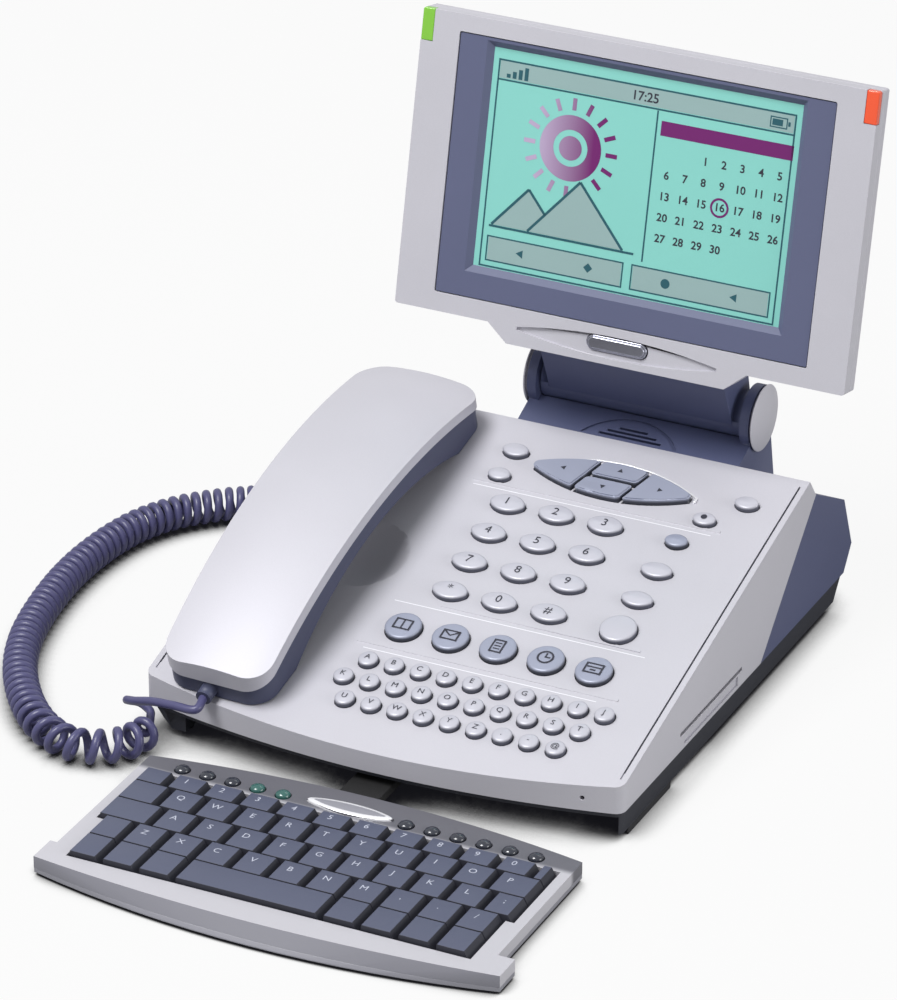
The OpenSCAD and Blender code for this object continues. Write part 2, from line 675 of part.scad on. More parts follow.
module microphone_capsule() color(black) capsule(-1, 1);

module hook_plunger() color(pale_key) place() on_handset(pad_v, 0) {
    translate([0, 0, -9]) cylinder(d = hook_d + 4, h = 1.6);
    translate([0, 0, -9]) cylinder(d = hook_d, h = 9 + pad_h0 - 0.2);
}

// Screen
screen_r = 1.2;
screen_wall = 2.5;
bezel_t = 6;
mask_drop = 0.5;
mask_up = 0.4;
mask_t = 2.4;
mask_r = 0.9;
mask_gap = 0.45;
lcd_up = 5;
lcd_t = 3.5;
lens_w = 5.4;
lens_h = 13.5;
lens_t = 3.4;
button_w = 26.5;
button_h = 6.4;
button_gap = 4.2;
button_y = mask_up - mask_h / 2 - button_gap - button_h / 2;
chin_low = min(-screen_h / 2 - chin_h, button_y - button_h / 2 - button_gap);
scoop_drop = 1.4;
chin_top = [57, 48];

module chin() polygon([[-chin_top[0], -screen_h / 2 + 1], [-chin_top[0], -screen_h / 2],
    [-chin_top[1], chin_low], [chin_top[1], chin_low],
    [chin_top[0], -screen_h / 2], [chin_top[0], -screen_h / 2 + 1]]);

module screen_face() {
    rounded(screen_w, screen_h, screen_r);
    chin();
}

module lens_corner(s, t = 0) translate([0, 0, -lens_t]) linear_extrude(lens_t + 2) intersection() {
    translate([s * (screen_w - lens_w) / 2, (screen_h - lens_h) / 2])
        square([lens_w + 2 * t, lens_h + 2 * t], center = true);
    rounded(screen_w, screen_h, screen_r);
}

module stadium(w, h) {
    square([w - h, h], center = true);
    for (s = [-1, 1]) translate([s * (w - h) / 2, 0]) circle(h / 2);
}

module screen_bezel() color(silver) place() on_screen() difference() {
    translate([0, 0, -bezel_t]) linear_extrude(bezel_t) difference() {
        screen_face();
        translate([0, mask_up]) rounded(mask_w, mask_h, mask_r);
    }
    for (s = [-1, 1]) lens_corner(s);
    // Lens-shaped scoop in the chin and the hole of its button
    translate([0, button_y - 0.8, -scoop_drop]) linear_extrude(5) oval(44, 4.6);
    translate([0, button_y, -bezel_t - 1]) linear_extrude(bezel_t + 2)
        stadium(button_w + 2 * key_gap, button_h + 2 * key_gap);
}

module screen_mask() color("#4A4E6C") place() on_screen() difference() {
    translate([0, mask_up, -mask_drop - mask_t]) linear_extrude(mask_t)
        rounded(mask_w - 2 * mask_gap, mask_h - 2 * mask_gap, mask_r - mask_gap);
    hull() for (p = [[-mask_drop - mask_t - 0.1, 0], [0, 3.2]]) translate([0, lcd_up, p[0]])
        cube([lcd_w + 2 * p[1], lcd_h + 2 * p[1], 0.1], center = true);
}

module lcd_panel() color("#8CCFC6") place() on_screen()
    translate([0, lcd_up - 2, -mask_drop - mask_t - lcd_t / 2])
        cube([lcd_w + 12, lcd_h + 10, lcd_t], center = true);

module screen_back_cover() color(silver) place() on_screen() {
    difference() {
        translate([0, 0, -screen_t]) linear_extrude(screen_t - bezel_t) screen_face();
        translate([0, 0, -screen_t + 2]) linear_extrude(screen_t)
            square([screen_w - 2 * screen_wall, screen_h - 2 * screen_wall], center = true);
    }
    for (x = [-1, 1], y = [-1, 1]) translate([x * lcd_w / 3, lcd_up + y * lcd_h / 3, -screen_t + 1])
        cylinder(d = 6, h = screen_t - 1 - mask_drop - mask_t - lcd_t);
}

module lamp_lenses() color("#B5A03A") place() on_screen() intersection() {
    for (s = [-1, 1]) lens_corner(s, -fit);
    translate([0, 0, -20]) cube([300, 300, 40], center = true);
}

module screen_button() color("#DADBE0") place() on_screen() translate([0, button_y, -bezel_t + 1.2]) {
    linear_extrude(bezel_t - 1.6) stadium(button_w, button_h);
    linear_extrude(bezel_t - 1) stadium(button_w - 1.6, button_h - 1.6);
}

// Hinge barrel with the bracket that carries the screen
bracket_w = barrel_l - 8;

module hinge_barrel() color(pod_blue) place() difference() {
    union() {
        at_hinge(-barrel_l / 2) cylinder(d = barrel_d, h = barrel_l);
        intersection() {
            hull() {
                at_hinge(-bracket_w / 2) cylinder(d = barrel_d - 1, h = bracket_w, $fn = 32);
                on_screen() translate([-bracket_w / 2, -screen_h / 2 + 4, -screen_t - 4])
                    cube([bracket_w, 40, 8]);
            }
            on_screen() translate([-100, -300, -screen_t - 200]) cube([200, 400, 200]);
        }
    }
    at_hinge(-barrel_l) cylinder(d = shaft_d + 2 * fit, h = 2 * barrel_l);
}

module hinge_shaft() color(steel) place() at_hinge(-pod_w / 2) cylinder(d = shaft_d, h = pod_w);

module hinge_caps() color(silver) place() for (s = [0, 1]) at_hinge() mirror([0, 0, s])
    translate([0, 0, pod_w / 2]) {
        cylinder(d = hinge_ear_d - 3, h = 1.2);
        translate([0, 0, 1]) intersection() {
            cylinder(d = hinge_ear_d + 1, h = cap_t);
            translate([0, 0, cap_t - 40]) sphere(40, $fn = 240);
        }
    }

// Keyboard
case_l = keyboard_x - keyboard_w / 2;

case_r = case_l + keyboard_w;
lip_l = case_l - ear_reach[0];
lip_r = case_r + ear_reach[1];
lip_back = front_y + ear_d;

// Plan of the case behind its front lip
module case_plan() polygon(concat([[case_l, lip_back - 1], [case_r, lip_back - 1]],
    bow([case_r, back_y], [case_l, back_y], back_bow, 16)));

module lip_plan(h) polygon(concat([[lip_r, lip_back], [lip_l, lip_back]],
    bow([lip_l, front_y], [lip_r, front_y], h, 16)));

// A slice of the case from z0 to z1, whose bowed front leans back towards the top
module case_slice(z0, z1) {
    translate([0, 0, z0]) linear_extrude(z1 - z0) case_plan();
    intersection() {
        hull() {
            translate([0, 0, case_foot]) linear_extrude(0.5) lip_plan(lip_bow);
            translate([0, 0, keyboard_t - 0.1]) linear_extrude(0.1) lip_plan(lip_top_bow);
        }
        translate([lip_l - 20, front_y - 40, z0]) cube([lip_r - lip_l + 40, 80, z1 - z0]);
    }
}

module key_well(t = 0) {
    translate([key_l - t, row_edge[3] - t])
        square([key_r - key_l + 2 * t, row_edge[0] - row_edge[3] + 2 * t]);
    translate([low_l - t, row_edge[5] - t])
        square([low_r - low_l + 2 * t, row_edge[3] - row_edge[5] + 2 * t]);
}

module keyboard_top_case() color("#B4B4BA") place() {
    difference() {
        case_slice(case_floor, keyboard_t);
        translate([0, 0, case_floor - 1]) linear_extrude(20) key_well(well_gap);
        for (x = concat(strip_left, strip_right)) translate([x, strip_y, 0])
            cylinder(d = button_d + 2 * key_gap, h = 20);
        // Pocket of the slide arm's root
        translate([arm_x - arm_w / 2 - fit, back_y - arm_root, arm_z])
            cube([arm_w + 2 * fit, arm_root + back_bow + 5, arm_t]);
    }
    translate([keyboard_x - 3.6, strip_y + 1, keyboard_t]) linear_extrude(0.8) oval(18.5, 4.4);
}

module keyboard_bottom_case() color("#8E8E96") place() {
    case_slice(case_foot, case_floor);
    for (x = [case_l + 8, case_l + keyboard_w - 8], y = [front_y + 9, back_y - 8]) translate([x, y, 0])
        cylinder(d = 8, h = case_foot + 0.5);
}

module slide_arm() color(black) place() translate([arm_x - arm_w / 2, back_y - arm_root, arm_z])
    cube([arm_w, arm_end - back_y + arm_root, arm_t]);

cap_z = keyboard_t + cap_rise;
cap_foot = case_floor + cap_travel + 0.4;
cap_draft = 0.8;
cap_flank = 2.8;

// One row of typing keys: a drafted bar, split by wedge-shaped gaps
module key_row(i, x0, x1, gaps) {
    difference() {
        across(x0, x1) polygon([[row_edge[i + 1] + 0.3, cap_foot], [row_edge[i] - 0.3, cap_foot],
            [row_edge[i] - 0.3 - cap_draft / 2, cap_z], [row_edge[i + 1] + 0.3 + cap_draft / 2, cap_z]]);
        for (g = gaps) translate([0, 400, 0]) rotate([90, 0, 0]) linear_extrude(800)
            polygon([[g - 0.4, cap_foot - 1], [g + 0.4, cap_foot - 1], [g + 0.4 + cap_draft / 2, cap_z + 1],
                [g - 0.4 - cap_flank, cap_z + 1]]);
    }
}

function row_l(i) = i < 3 ? key_l : low_l;
function row_r(i) = i < 3 ? key_r : low_r;
function gap_list(i) = [for (j = [0:row_gaps[i] - 1])
    row_l(i) + row_lead[i] + cap_pitch * (j + (i == 4 && j > 2 ? 3 : 0))];

module typing_keys() color(slate) place() {
    for (i = [0:3]) key_row(i, row_l(i), row_r(i), gap_list(i));
    difference() {
        key_row(4, row_l(4), row_r(4), gap_list(4));
        translate([space_l - 0.1, row_edge[5] - 1, 0]) cube([space_r - space_l + 0.2, 40, 40]);
    }
}

module space_bar() color(slate) place() intersection() {
    key_row(4, row_l(4), row_r(4), gap_list(4));
    translate([space_l, row_edge[5] - 1, 0]) cube([space_r - space_l, 18, 40]);
}

module strip_buttons() color(dark) place() for (x = concat(strip_left, strip_right))
    translate([x, strip_y, cap_foot]) intersection() {
        cylinder(d = button_d, h = cap_z - cap_foot);
        translate([0, 0, cap_z - cap_foot - 4.4]) sphere(4.4);
    }

// Cord: a tube of rings along a line of points
function catmull(p, i, t) = let (a = p[max(0, i - 1)], b = p[i], c = p[min(len(p) - 1, i + 1)],
    d = p[min(len(p) - 1, i + 2)])
    b + (c - a) * t / 2 + (2 * a - 5 * b + 4 * c - d) * t * t / 2
        + (3 * b - a - 3 * c + d) * t * t * t / 2;
function curve(p, n) = [for (i = [0:len(p) - 2], k = [0:n - 1]) catmull(p, i, k / n), p[len(p) - 1]];
function step(p, i) = i < len(p) - 1 ? norm(p[i + 1] - p[i]) : 0;
function running(p) = [for (i = 0, s = 0; i < len(p); s = s + step(p, i), i = i + 1) s];
function spot(p, s, at, lo, hi) = hi - lo <= 1
    ? p[lo] + (p[hi] - p[lo]) * (at - s[lo]) / (s[hi] - s[lo])
    : let (m = floor((lo + hi) / 2)) s[m] > at ? spot(p, s, at, lo, m) : spot(p, s, at, m, hi);
function along(p, s, at) = spot(p, s, max(0, min(at, s[len(s) - 1])), 0, len(p) - 1);

// A tube's faces: side triangles between rings of n points, and a fan on each end
function tube_faces(rings, n) = concat(
    [for (i = [0:rings - 2], k = [0:n - 1], h = [0, 1]) let (a = i * n + k, b = i * n + (k + 1) % n)
        h == 0 ? [a, b, b + n] : [a, b + n, a + n]],
    [for (k = [1:n - 2]) [0, k + 1, k]],
    [for (k = [1:n - 2]) let (e = (rings - 1) * n) [e, e + k, e + k + 1]]);
function heading(p, i) = unit(p[min(i + 1, len(p) - 1)] - p[max(i - 1, 0)]);
function ring(c, t, up, r, n) = let (e = unit(up - t * (up * t)), f = cross(t, e))
    [for (k = [0:n - 1]) c + r * (cos(360 * k / n) * e + sin(360 * k / n) * f)];

coil_line = curve(coil_route, 12);
coil_run = running(coil_line);
coil_end = coil_run[len(coil_run) - 1];
tail_l = 20;
nose_l = 6;
tail_stretch = 10;
nose_stretch = 22;
coil_pitch = (coil_end - tail_l - nose_l - tail_stretch - nose_stretch) / curls;
function coil_at(u) = tail_l + coil_pitch * u + tail_stretch * smooth(u / 1.5)
    + nose_stretch * smooth((u - curls + 10) / 10);
function coil_spot(s) = along(coil_line, coil_run, s);
function coil_frame(s) = let (t = unit(coil_spot(s + 1) - coil_spot(s - 1)),
    n = unit(cross([0, 0, 1], t))) [t, n, cross(t, n)];
function curl_out(u) = let (f = coil_frame(coil_at(u))) cos(360 * u) * f[2] + sin(360 * u) * f[1];
function curl_point(u) = coil_spot(coil_at(u))
    + curl_r * smooth(u / 1.2) * smooth((curls - u) / 1.2) * curl_out(u);
curl_steps = [for (k = [0:curls * curl_rings]) k / curl_rings];
cord_points = concat([for (s = [0, 4, 8, 14]) coil_spot(s)], [for (u = curl_steps) curl_point(u)],
    [for (s = [4, 2, 0]) coil_spot(coil_end - s)]);
cord_ups = concat([for (s = [0:3]) curl_out(0)], [for (u = curl_steps) curl_out(u)],
    [for (s = [0:2]) curl_out(curls)]);
cord_run = running(cord_points);
curl_gap = min([for (i = [0:len(cord_points) - 1], j = [i + 3:1:min(i + 30, len(cord_points) - 1)])
    if (cord_run[j] - cord_run[i] > 3 * wire_d) norm(cord_points[i] - cord_points[j])]) - wire_d;
echo(curl_gap = curl_gap, coil_pitch = coil_pitch);

cord_last = len(cord_points) - 1;
cord_ways = [for (i = [0:cord_last]) i == 0 ? [-1, 0, 0] : heading(cord_points, i)];

module curly_cord() color(cord_blue) place() polyhedron(
    [for (i = [0:cord_last])
        each ring(cord_points[i], cord_ways[i], cord_ups[i], wire_d / 2, wire_sides)],
    tube_faces(cord_last + 1, wire_sides));

// The free stretch from the last curl to the handset, square to both at its ends
lead_line = curve(lead_route, 6);
lead_last = len(lead_line) - 1;
lead_ways = [for (i = [0:lead_last])
    i == 0 ? cord_ways[cord_last] : i == lead_last ? -lead_dir : heading(lead_line, i)];
lead_sides = 8;

module handset_lead() color(cord_blue) place() polyhedron(
    [for (i = [0:lead_last]) each ring(lead_line[i], lead_ways[i], [0, 0, 1], wire_d / 2, lead_sides)],
    tube_faces(lead_last + 1, lead_sides));

// Keys, one node each
module digit(i) color(pale_key) key(digits[i]);
module digit_key_1() digit(0);
module digit_key_2() digit(1);
module digit_key_3() digit(2);
module digit_key_4() digit(3);
module digit_key_5() digit(4);
module digit_key_6() digit(5);
module digit_key_7() digit(6);
module digit_key_8() digit(7);
module digit_key_9() digit(8);
module star_key() digit(9);
module digit_key_0() digit(10);
module hash_key() digit(11);
module memory(i) color(grey_key) key(memories[i]);
module memory_key_1() memory(0);
module memory_key_2() memory(1);
module memory_key_3() memory(2);
module memory_key_4() memory(3);
module memory_key_5() memory(4);
module nav_key(i) color(grey_key) place() on_panel() {
    translate([0, 0, key_foot_h]) linear_extrude(key_foot_t) nav_shape(i, 0.5);
    translate([0, 0, key_foot_h]) linear_extrude(key_rise - 0.5 - key_foot_h) nav_shape(i);
    translate([0, 0, key_foot_h]) linear_extrude(key_rise - key_foot_h) nav_shape(i, -0.6);
}
module nav_key_left() nav_key(0);
module nav_key_up() nav_key(1);
module nav_key_down() nav_key(2);
module nav_key_right() nav_key(3);
module function_key(i) color(pale_key) key(functions[i]);
module function_key_1() function_key(0);
module function_key_2() function_key(1);
module function_key_3() function_key(2);
module function_key_4() function_key(3);
module function_key_5() function_key(4);
module function_key_6() function_key(5);
module function_key_7() function_key(6);
module function_key_8() function_key(7);
module letter_keys() color(pale_key) for (k = letters) key(k);

base_top_shell();
base_tray();
rear_cover();
base_feet();
base_screws();
main_board();
loudspeaker();
nav_trim();
handset_back_shell();
handset_front_shell();
receiver_capsule();
microphone_capsule();
screen_bezel();
screen_mask();
lcd_panel();
screen_back_cover();
lamp_lenses();
hinge_barrel();
hinge_shaft();
hinge_caps();
keyboard_top_case();
keyboard_bottom_case();
slide_arm();
curly_cord();
handset_lead();
digit_key_1();
digit_key_2();
digit_key_3();
digit_key_4();
digit_key_5();
digit_key_6();
digit_key_7();
digit_key_8();
digit_key_9();
star_key();
digit_key_0();
hash_key();
memory_key_1();
memory_key_2();
memory_key_3();
memory_key_4();
memory_key_5();
nav_key_left();
nav_key_up();
nav_key_down();
nav_key_right();
function_key_1();
function_key_2();
function_key_3();
function_key_4();
function_key_5();
function_key_6();
function_key_7();
function_key_8();
letter_keys();
typing_keys();
space_bar();
strip_buttons();
hook_plunger();
screen_button();
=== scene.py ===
import json
import math

import bmesh
import bpy
from mathutils import Matrix, Vector


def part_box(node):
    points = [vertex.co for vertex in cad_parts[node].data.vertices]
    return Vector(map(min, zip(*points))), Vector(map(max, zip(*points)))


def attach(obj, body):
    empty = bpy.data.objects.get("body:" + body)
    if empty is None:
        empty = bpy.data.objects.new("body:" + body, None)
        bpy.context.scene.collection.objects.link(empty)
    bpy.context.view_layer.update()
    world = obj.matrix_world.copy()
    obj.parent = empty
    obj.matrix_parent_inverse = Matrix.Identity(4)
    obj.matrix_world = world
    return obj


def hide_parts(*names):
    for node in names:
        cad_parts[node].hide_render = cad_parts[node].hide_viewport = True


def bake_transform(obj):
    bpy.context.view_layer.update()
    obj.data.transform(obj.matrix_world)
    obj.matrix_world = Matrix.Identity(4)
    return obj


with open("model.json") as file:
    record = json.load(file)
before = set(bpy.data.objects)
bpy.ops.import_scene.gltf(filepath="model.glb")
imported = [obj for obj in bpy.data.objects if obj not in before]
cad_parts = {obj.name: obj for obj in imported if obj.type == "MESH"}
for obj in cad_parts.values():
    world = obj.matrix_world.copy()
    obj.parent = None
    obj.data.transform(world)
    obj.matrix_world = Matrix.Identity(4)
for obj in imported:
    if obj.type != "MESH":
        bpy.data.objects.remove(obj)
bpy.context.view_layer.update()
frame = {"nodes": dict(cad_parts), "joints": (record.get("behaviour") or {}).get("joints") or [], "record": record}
nodes = frame["nodes"]
mm = 0.001

# Camera. The telephone is seen from the front right and a little above, through a long lens
# that hardly narrows its far end.
view_rise, view_side = 27.32, 26
camera_data = bpy.data.cameras.new("view")
camera_data.lens = 213.1
camera_data.clip_end = 20
camera = bpy.data.objects.new("camera", camera_data)
camera.location = (0.8934, -1.8334, 1.1576)
camera.rotation_euler = (math.radians(90 - view_rise), 0, math.radians(view_side))
bpy.context.collection.objects.link(camera)
bpy.context.scene.camera = camera

# Curly cord. A thin sleeved lead, wound hot on a mandrel so that it springs back into curls.
# It leaves a collar low in the base's left side, lies on the table and comes round to the handset.
middle = Vector((6.7, 48.43, 0))
wire_d = 3.5
curl_r = (14.5 - wire_d) / 2
lay_z = 7.65
curls = 60
tail_l = 20
nose_l = 6
tail_stretch = 10
nose_stretch = 22
coil_route = [(-108.5, 197, 20), (-118.5, 197, 19), (-134, 190, 12), (-146, 181, lay_z),
              (-160, 170, lay_z), (-174, 155, lay_z), (-183, 136, lay_z), (-187, 112, lay_z),
              (-187, 86, lay_z), (-183, 58, lay_z), (-176, 31, lay_z), (-165, 7, lay_z),
              (-150, -14, lay_z), (-134, -29, lay_z), (-118, -36, lay_z), (-106, -33, lay_z),
              (-97.5, -24, lay_z), (-96, -13, 8.2), (-99, -5, 8.6)]
lead_route = [(-99, -5, 8.6), (-101.5, -1, 8.8), (-107, 1, 10), (-110, -4, 13), (-104, -9, 16.5),
              (-94, -12.5, 20.5), (-83, -16, 23.3), (-72, -17.52, 24.7), (-72, -10.76, 26.52)]


def smooth(t):
    u = max(0, min(1, t))
    return u * u * (3 - 2 * u)


def flowing(route, steps):
    """Points of a smooth line through a route, in metres in the row's frame."""
    p = [(Vector(q) - middle) * mm for q in route]
    line = []
    for i in range(len(p) - 1):
        a, b, c, d = p[max(0, i - 1)], p[i], p[i + 1], p[min(len(p) - 1, i + 2)]
        for k in range(steps):
            t = k / steps
            line.append(b + (c - a) * t / 2 + (2 * a - 5 * b + 4 * c - d) * t * t / 2
                        + (3 * b - a - 3 * c + d) * t ** 3 / 2)
    return line + [p[-1]]


def length_of(line):
    return sum((b - a).length for a, b in zip(line, line[1:]))


def point_along(line, run):
    for a, b in zip(line, line[1:]):
        step = (b - a).length
        if run <= step:
            return a.lerp(b, max(run, 0) / step)
        run -= step
    return line[-1].copy()


coil_line = flowing(coil_route, 12)
coil_end = length_of(coil_line)
coil_pitch = (coil_end / mm - tail_l - nose_l - tail_stretch - nose_stretch) / curls


def curl_point(u):
    """Where the wire is after u curls: on a circle about the coil's line that opens and closes
    at its ends."""
    run = mm * (tail_l + coil_pitch * u + tail_stretch * smooth(u / 1.5)
                + nose_stretch * smooth((u - curls + 10) / 10))
    way = (point_along(coil_line, run + mm) - point_along(coil_line, run - mm)).normalized()
    side = Vector((0, 0, 1)).cross(way).normalized()
    turn = 2 * math.pi * u
    out = math.cos(turn) * way.cross(side) + math.sin(turn) * side
    opening = smooth(u / 1.2) * smooth((curls - u) / 1.2)
    return point_along(coil_line, run) + mm * curl_r * opening * out


curl_steps = 18
coil_points = [point_along(coil_line, s * mm) for s in (0, 4, 8, 14)]
coil_points += [curl_point(k / curl_steps) for k in range(curls * curl_steps + 1)]
coil_points += [point_along(coil_line, coil_end - s * mm) for s in (4, 2, 0)]
lead_points = flowing(lead_route, 8)


def tube(name, points):
    """A round sleeve of the wire's own thickness along a line of points."""
    data = bpy.data.curves.new(name, "CURVE")
    data.dimensions = "3D"
    data.bevel_depth = wire_d / 2 * mm
    data.bevel_resolution = 4
    data.use_fill_caps = True
    spline = data.splines.new("POLY")
    spline.points.add(len(points) - 1)
    for spot, p in zip(spline.points, points):
        spot.co = (*p, 1)
    spline.use_smooth = True
    piece = bpy.data.objects.new(name, data)
    bpy.context.collection.objects.link(piece)
    return piece


def only(piece):
    """Selects one piece alone, for the operators that follow."""
    bpy.ops.object.select_all(action="DESELECT")
    piece.select_set(True)
    bpy.context.view_layer.objects.active = piece


def tint(code):
    """A colour written as it is seen on a screen, turned into light."""
    parts = [int(code[i:i + 2], 16) / 255 for i in (1, 3, 5)]
    return (*(c / 12.92 if c < 0.04 else ((c + 0.055) / 1.055) ** 2.4 for c in parts), 1)


class Shade:
    """A value in a material. Python's operators on it add the Math nodes that work it out."""

    def __init__(self, tree, socket=None):
        self.tree = tree
        self.socket = socket

    def make(self, kind, inputs=None, output=0, **settings):
        node = self.tree.nodes.new("ShaderNode" + kind)
        for name, value in settings.items():
            setattr(node, name, value)
        for name, value in (inputs or {}).items():
            if isinstance(value, Shade):
                self.tree.links.new(value.socket, node.inputs[name])
            else:
                node.inputs[name].default_value = value
        return Shade(self.tree, node.outputs[output])

    def math(self, operation, *values):
        return self.make("Math", dict(enumerate(values)), operation=operation)

    def __add__(self, other):
        return self.math("ADD", self, other)

    def __sub__(self, other):
        return self.math("SUBTRACT", self, other)

    def __mul__(self, other):
        return self.math("MULTIPLY", self, other)

    def __rsub__(self, other):
        return self.math("SUBTRACT", other, self)

    def __lt__(self, other):
        return self.math("LESS_THAN", self, other)

    def __gt__(self, other):
        return self.math("GREATER_THAN", self, other)

    __radd__ = __add__
    __rmul__ = __mul__


class Finish(Shade):
    """A material whose surface is worked out from the piece's own coordinates."""

    def __init__(self, name, roughness=0.5, metallic=0, coat=0):
        self.material = bpy.data.materials.new(name)
        self.material.use_nodes = True
        super().__init__(self.material.node_tree)
        self.shader = self.tree.nodes["Principled BSDF"]
        self.set("Roughness", roughness)
        self.set("Metallic", metallic)
        self.set("Coat Weight", coat)
        self.place = self.make("TexCoord", output="Object")

    def set(self, name, value):
        if isinstance(value, Shade):
            self.tree.links.new(value.socket, self.shader.inputs[name])
        else:
            self.shader.inputs[name].default_value = value

    def noise(self, scale, detail=2):
        return self.make("TexNoise", {"Vector": self.place, "Scale": scale, "Detail": detail})

    def mix(self, low, high, share):
        return self.make("Mix", {0: share, 6: low, 7: high}, output=2, data_type="RGBA")

    def bump(self, height, strength, distance=0.1 * mm):
        normal = self.make("Bump", {"Height": height, "Strength": strength, "Distance": distance},
                           output="Normal")
        self.set("Normal", normal)


def moulded(name, code, roughness, grain=0.1, metallic=0, coat=0, fleck=0.05):
    """Moulded plastic: a fine spark grain, slow unevenness of tone, and a sheen that follows both."""
    finish = Finish(name, roughness, metallic, coat)
    cloud = finish.noise(22, 3)
    speck = finish.noise(2600, 1)
    tone = 1 + (cloud - 0.5) * 0.07 + (speck - 0.5) * fleck
    colour = finish.make("VectorMath", {0: tint(code)[:3], "Scale": tone}, operation="SCALE")
    finish.set("Base Color", colour)
    finish.set("Roughness", roughness + (cloud - 0.5) * 0.1 + (speck - 0.5) * 0.12)
    finish.bump(speck, grain)
    return finish.material


def paint(piece, *materials):
    for k, material in enumerate(materials):
        if k < len(piece.data.materials):
            piece.data.materials[k] = material
        else:
            piece.data.materials.append(material)


cord_sleeve = moulded("cord_sleeve", "#4C4B72", 0.38, grain=0.05)
coil = tube("coiled_cord", coil_points)
paint(coil, cord_sleeve)
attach(coil, "base")
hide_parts("curly_cord")
length_of(coil_points)
lead = tube("cord_lead", lead_points)
only(lead)
bpy.ops.object.convert(target="MESH")
paint(lead, cord_sleeve)
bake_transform(lead)
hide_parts("handset_lead")
length_of(lead_points)

# Studio. A white sweep under the telephone, a broad soft lamp high over its left front,
# weaker ones from the right and the back, and white all round.
bpy.context.scene.view_settings.view_transform = "Standard"
world = bpy.data.worlds.new("studio")
bpy.context.scene.world = world
world.use_nodes = True
sky = Shade(world.node_tree)
seen = sky.make("LightPath", output="Is Camera Ray")
mirrored = sky.make("LightPath", output="Is Glossy Ray")
strength = 0.28 + 0.72 * sky.math("MAXIMUM", seen, mirrored * 0.6)
backdrop = world.node_tree.nodes["Background"]
backdrop.inputs["Color"].default_value = (1, 1, 1, 1)
world.node_tree.links.new(strength.socket, backdrop.inputs["Strength"])


def lamp(name, place, aim, size, power):
    data = bpy.data.lights.new(name, "AREA")
    data.shape = "DISK"
    data.size = size
    data.energy = power
    light = bpy.data.objects.new(name, data)
    light.location = place
    light.rotation_euler = (Vector(aim) - Vector(place)).to_track_quat("-Z", "Y").to_euler()
    bpy.context.collection.objects.link(light)


lamp("key_lamp", (-0.6, -0.75, 1.9), (0, 0, 0.05), 1.0, 44)
lamp("fill_lamp", (1.8, -0.05, 0.55), (0, 0, 0.05), 1.0, 13)
lamp("back_lamp", (0.3, 1.5, 1.8), (0, 0.1, 0.1), 1.0, 3)

bpy.ops.mesh.primitive_plane_add(size=12, location=(0, 0, -0.0002))
floor = bpy.context.object
floor.name = "floor"
floor_paint = Finish("floor_paint", roughness=0.9)
floor_paint.set("Base Color", (0.45, 0.45, 0.45, 1))
white = floor_paint.make("Emission", {"Color": (1, 1, 1, 1), "Strength": 1})
# Painted shadow: where the telephone hems the floor in, the camera sees a near-black emission instead of the white
# one, darkest under the base's lip.
painted_shadow = floor_paint.make("Emission", {"Color": (0.006, 0.006, 0.008, 1), "Strength": 1})
seen = floor_paint.make("LightPath", output="Is Camera Ray")
air = floor_paint.make("AmbientOcclusion", {"Distance": 0.022}, output="AO", samples=16)
open_air = floor_paint.make("MapRange", {"Value": air, "From Min": 0.36, "From Max": 0.76})
sight = floor_paint.make("MixShader", {0: open_air, 1: painted_shadow, 2: white})
blend = floor_paint.make("MixShader", {0: seen * 0.92, 2: sight})
floor_paint.tree.links.new(floor_paint.shader.outputs[0], blend.socket.node.inputs[1])
floor_paint.tree.links.new(blend.socket, floor_paint.tree.nodes["Material Output"].inputs["Surface"])
paint(floor, floor_paint.material)

# Base. A silver-painted upper moulding carries the key panel; a dark tray closes it from below
# on four screws and stands on rubber feet. The edges come rounded out of the mould.
bodies = {n: body for body, names in frame["record"]["behaviour"]["bodies"].items() for n in names}


def copied(node, name):
    """A mesh of a solid's own shape, with its loose triangles joined into whole faces."""
    piece = bpy.data.objects.new(name, nodes[node].data.copy())
    bpy.context.collection.objects.link(piece)
    only(piece)
    bpy.ops.object.mode_set(mode="EDIT")
    bpy.ops.mesh.select_all(action="SELECT")
    bpy.ops.mesh.remove_doubles(threshold=0.002 * mm)
    bpy.ops.mesh.dissolve_limited(angle_limit=math.radians(0.4))
    bpy.ops.object.mode_set(mode="OBJECT")
    return piece


def round_edges(piece, radius, steps=3, where=None, angle=28):
    """Rounds the sharp outer edges of a piece, or those a test picks by their middle and direction."""
    only(piece)
    bpy.ops.object.mode_set(mode="EDIT")
    bpy.ops.mesh.select_mode(type="EDGE")
    bpy.ops.mesh.select_all(action="DESELECT")
    mesh = bmesh.from_edit_mesh(piece.data)
    for edge in mesh.edges:
        if len(edge.link_faces) == 2 and edge.is_convex and edge.calc_face_angle() > math.radians(angle):
            a, b = (v.co for v in edge.verts)
            edge.select = where is None or where((a + b) / 2, (b - a).normalized())
    mesh.select_flush_mode()
    bmesh.update_edit_mesh(piece.data)
    bpy.ops.mesh.bevel(offset=radius * mm, offset_type="OFFSET", segments=steps, profile=0.5,
                       clamp_overlap=True)
    bpy.ops.object.mode_set(mode="OBJECT")


def even_sheen(piece, angle=50):
    """Smooth shading that keeps large flat faces flat."""
    only(piece)
    bpy.ops.object.shade_smooth_by_angle(angle=math.radians(angle))
    piece.modifiers.new("sheen", "WEIGHTED_NORMAL").keep_sharp = True
    bpy.ops.object.modifier_apply(modifier="sheen")


def fitted(piece, node, *materials):
    """Paints a piece and lets it stand for one solid, on that solid's body."""
    paint(piece, *materials)
    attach(piece, bodies[node])
    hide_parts(node)
    return piece


def softened(node, radius, material, steps=3, angle=28):
    piece = copied(node, "moulded_" + node)
    round_edges(piece, radius, steps, angle=angle)
    even_sheen(piece)
    return fitted(piece, node, material)


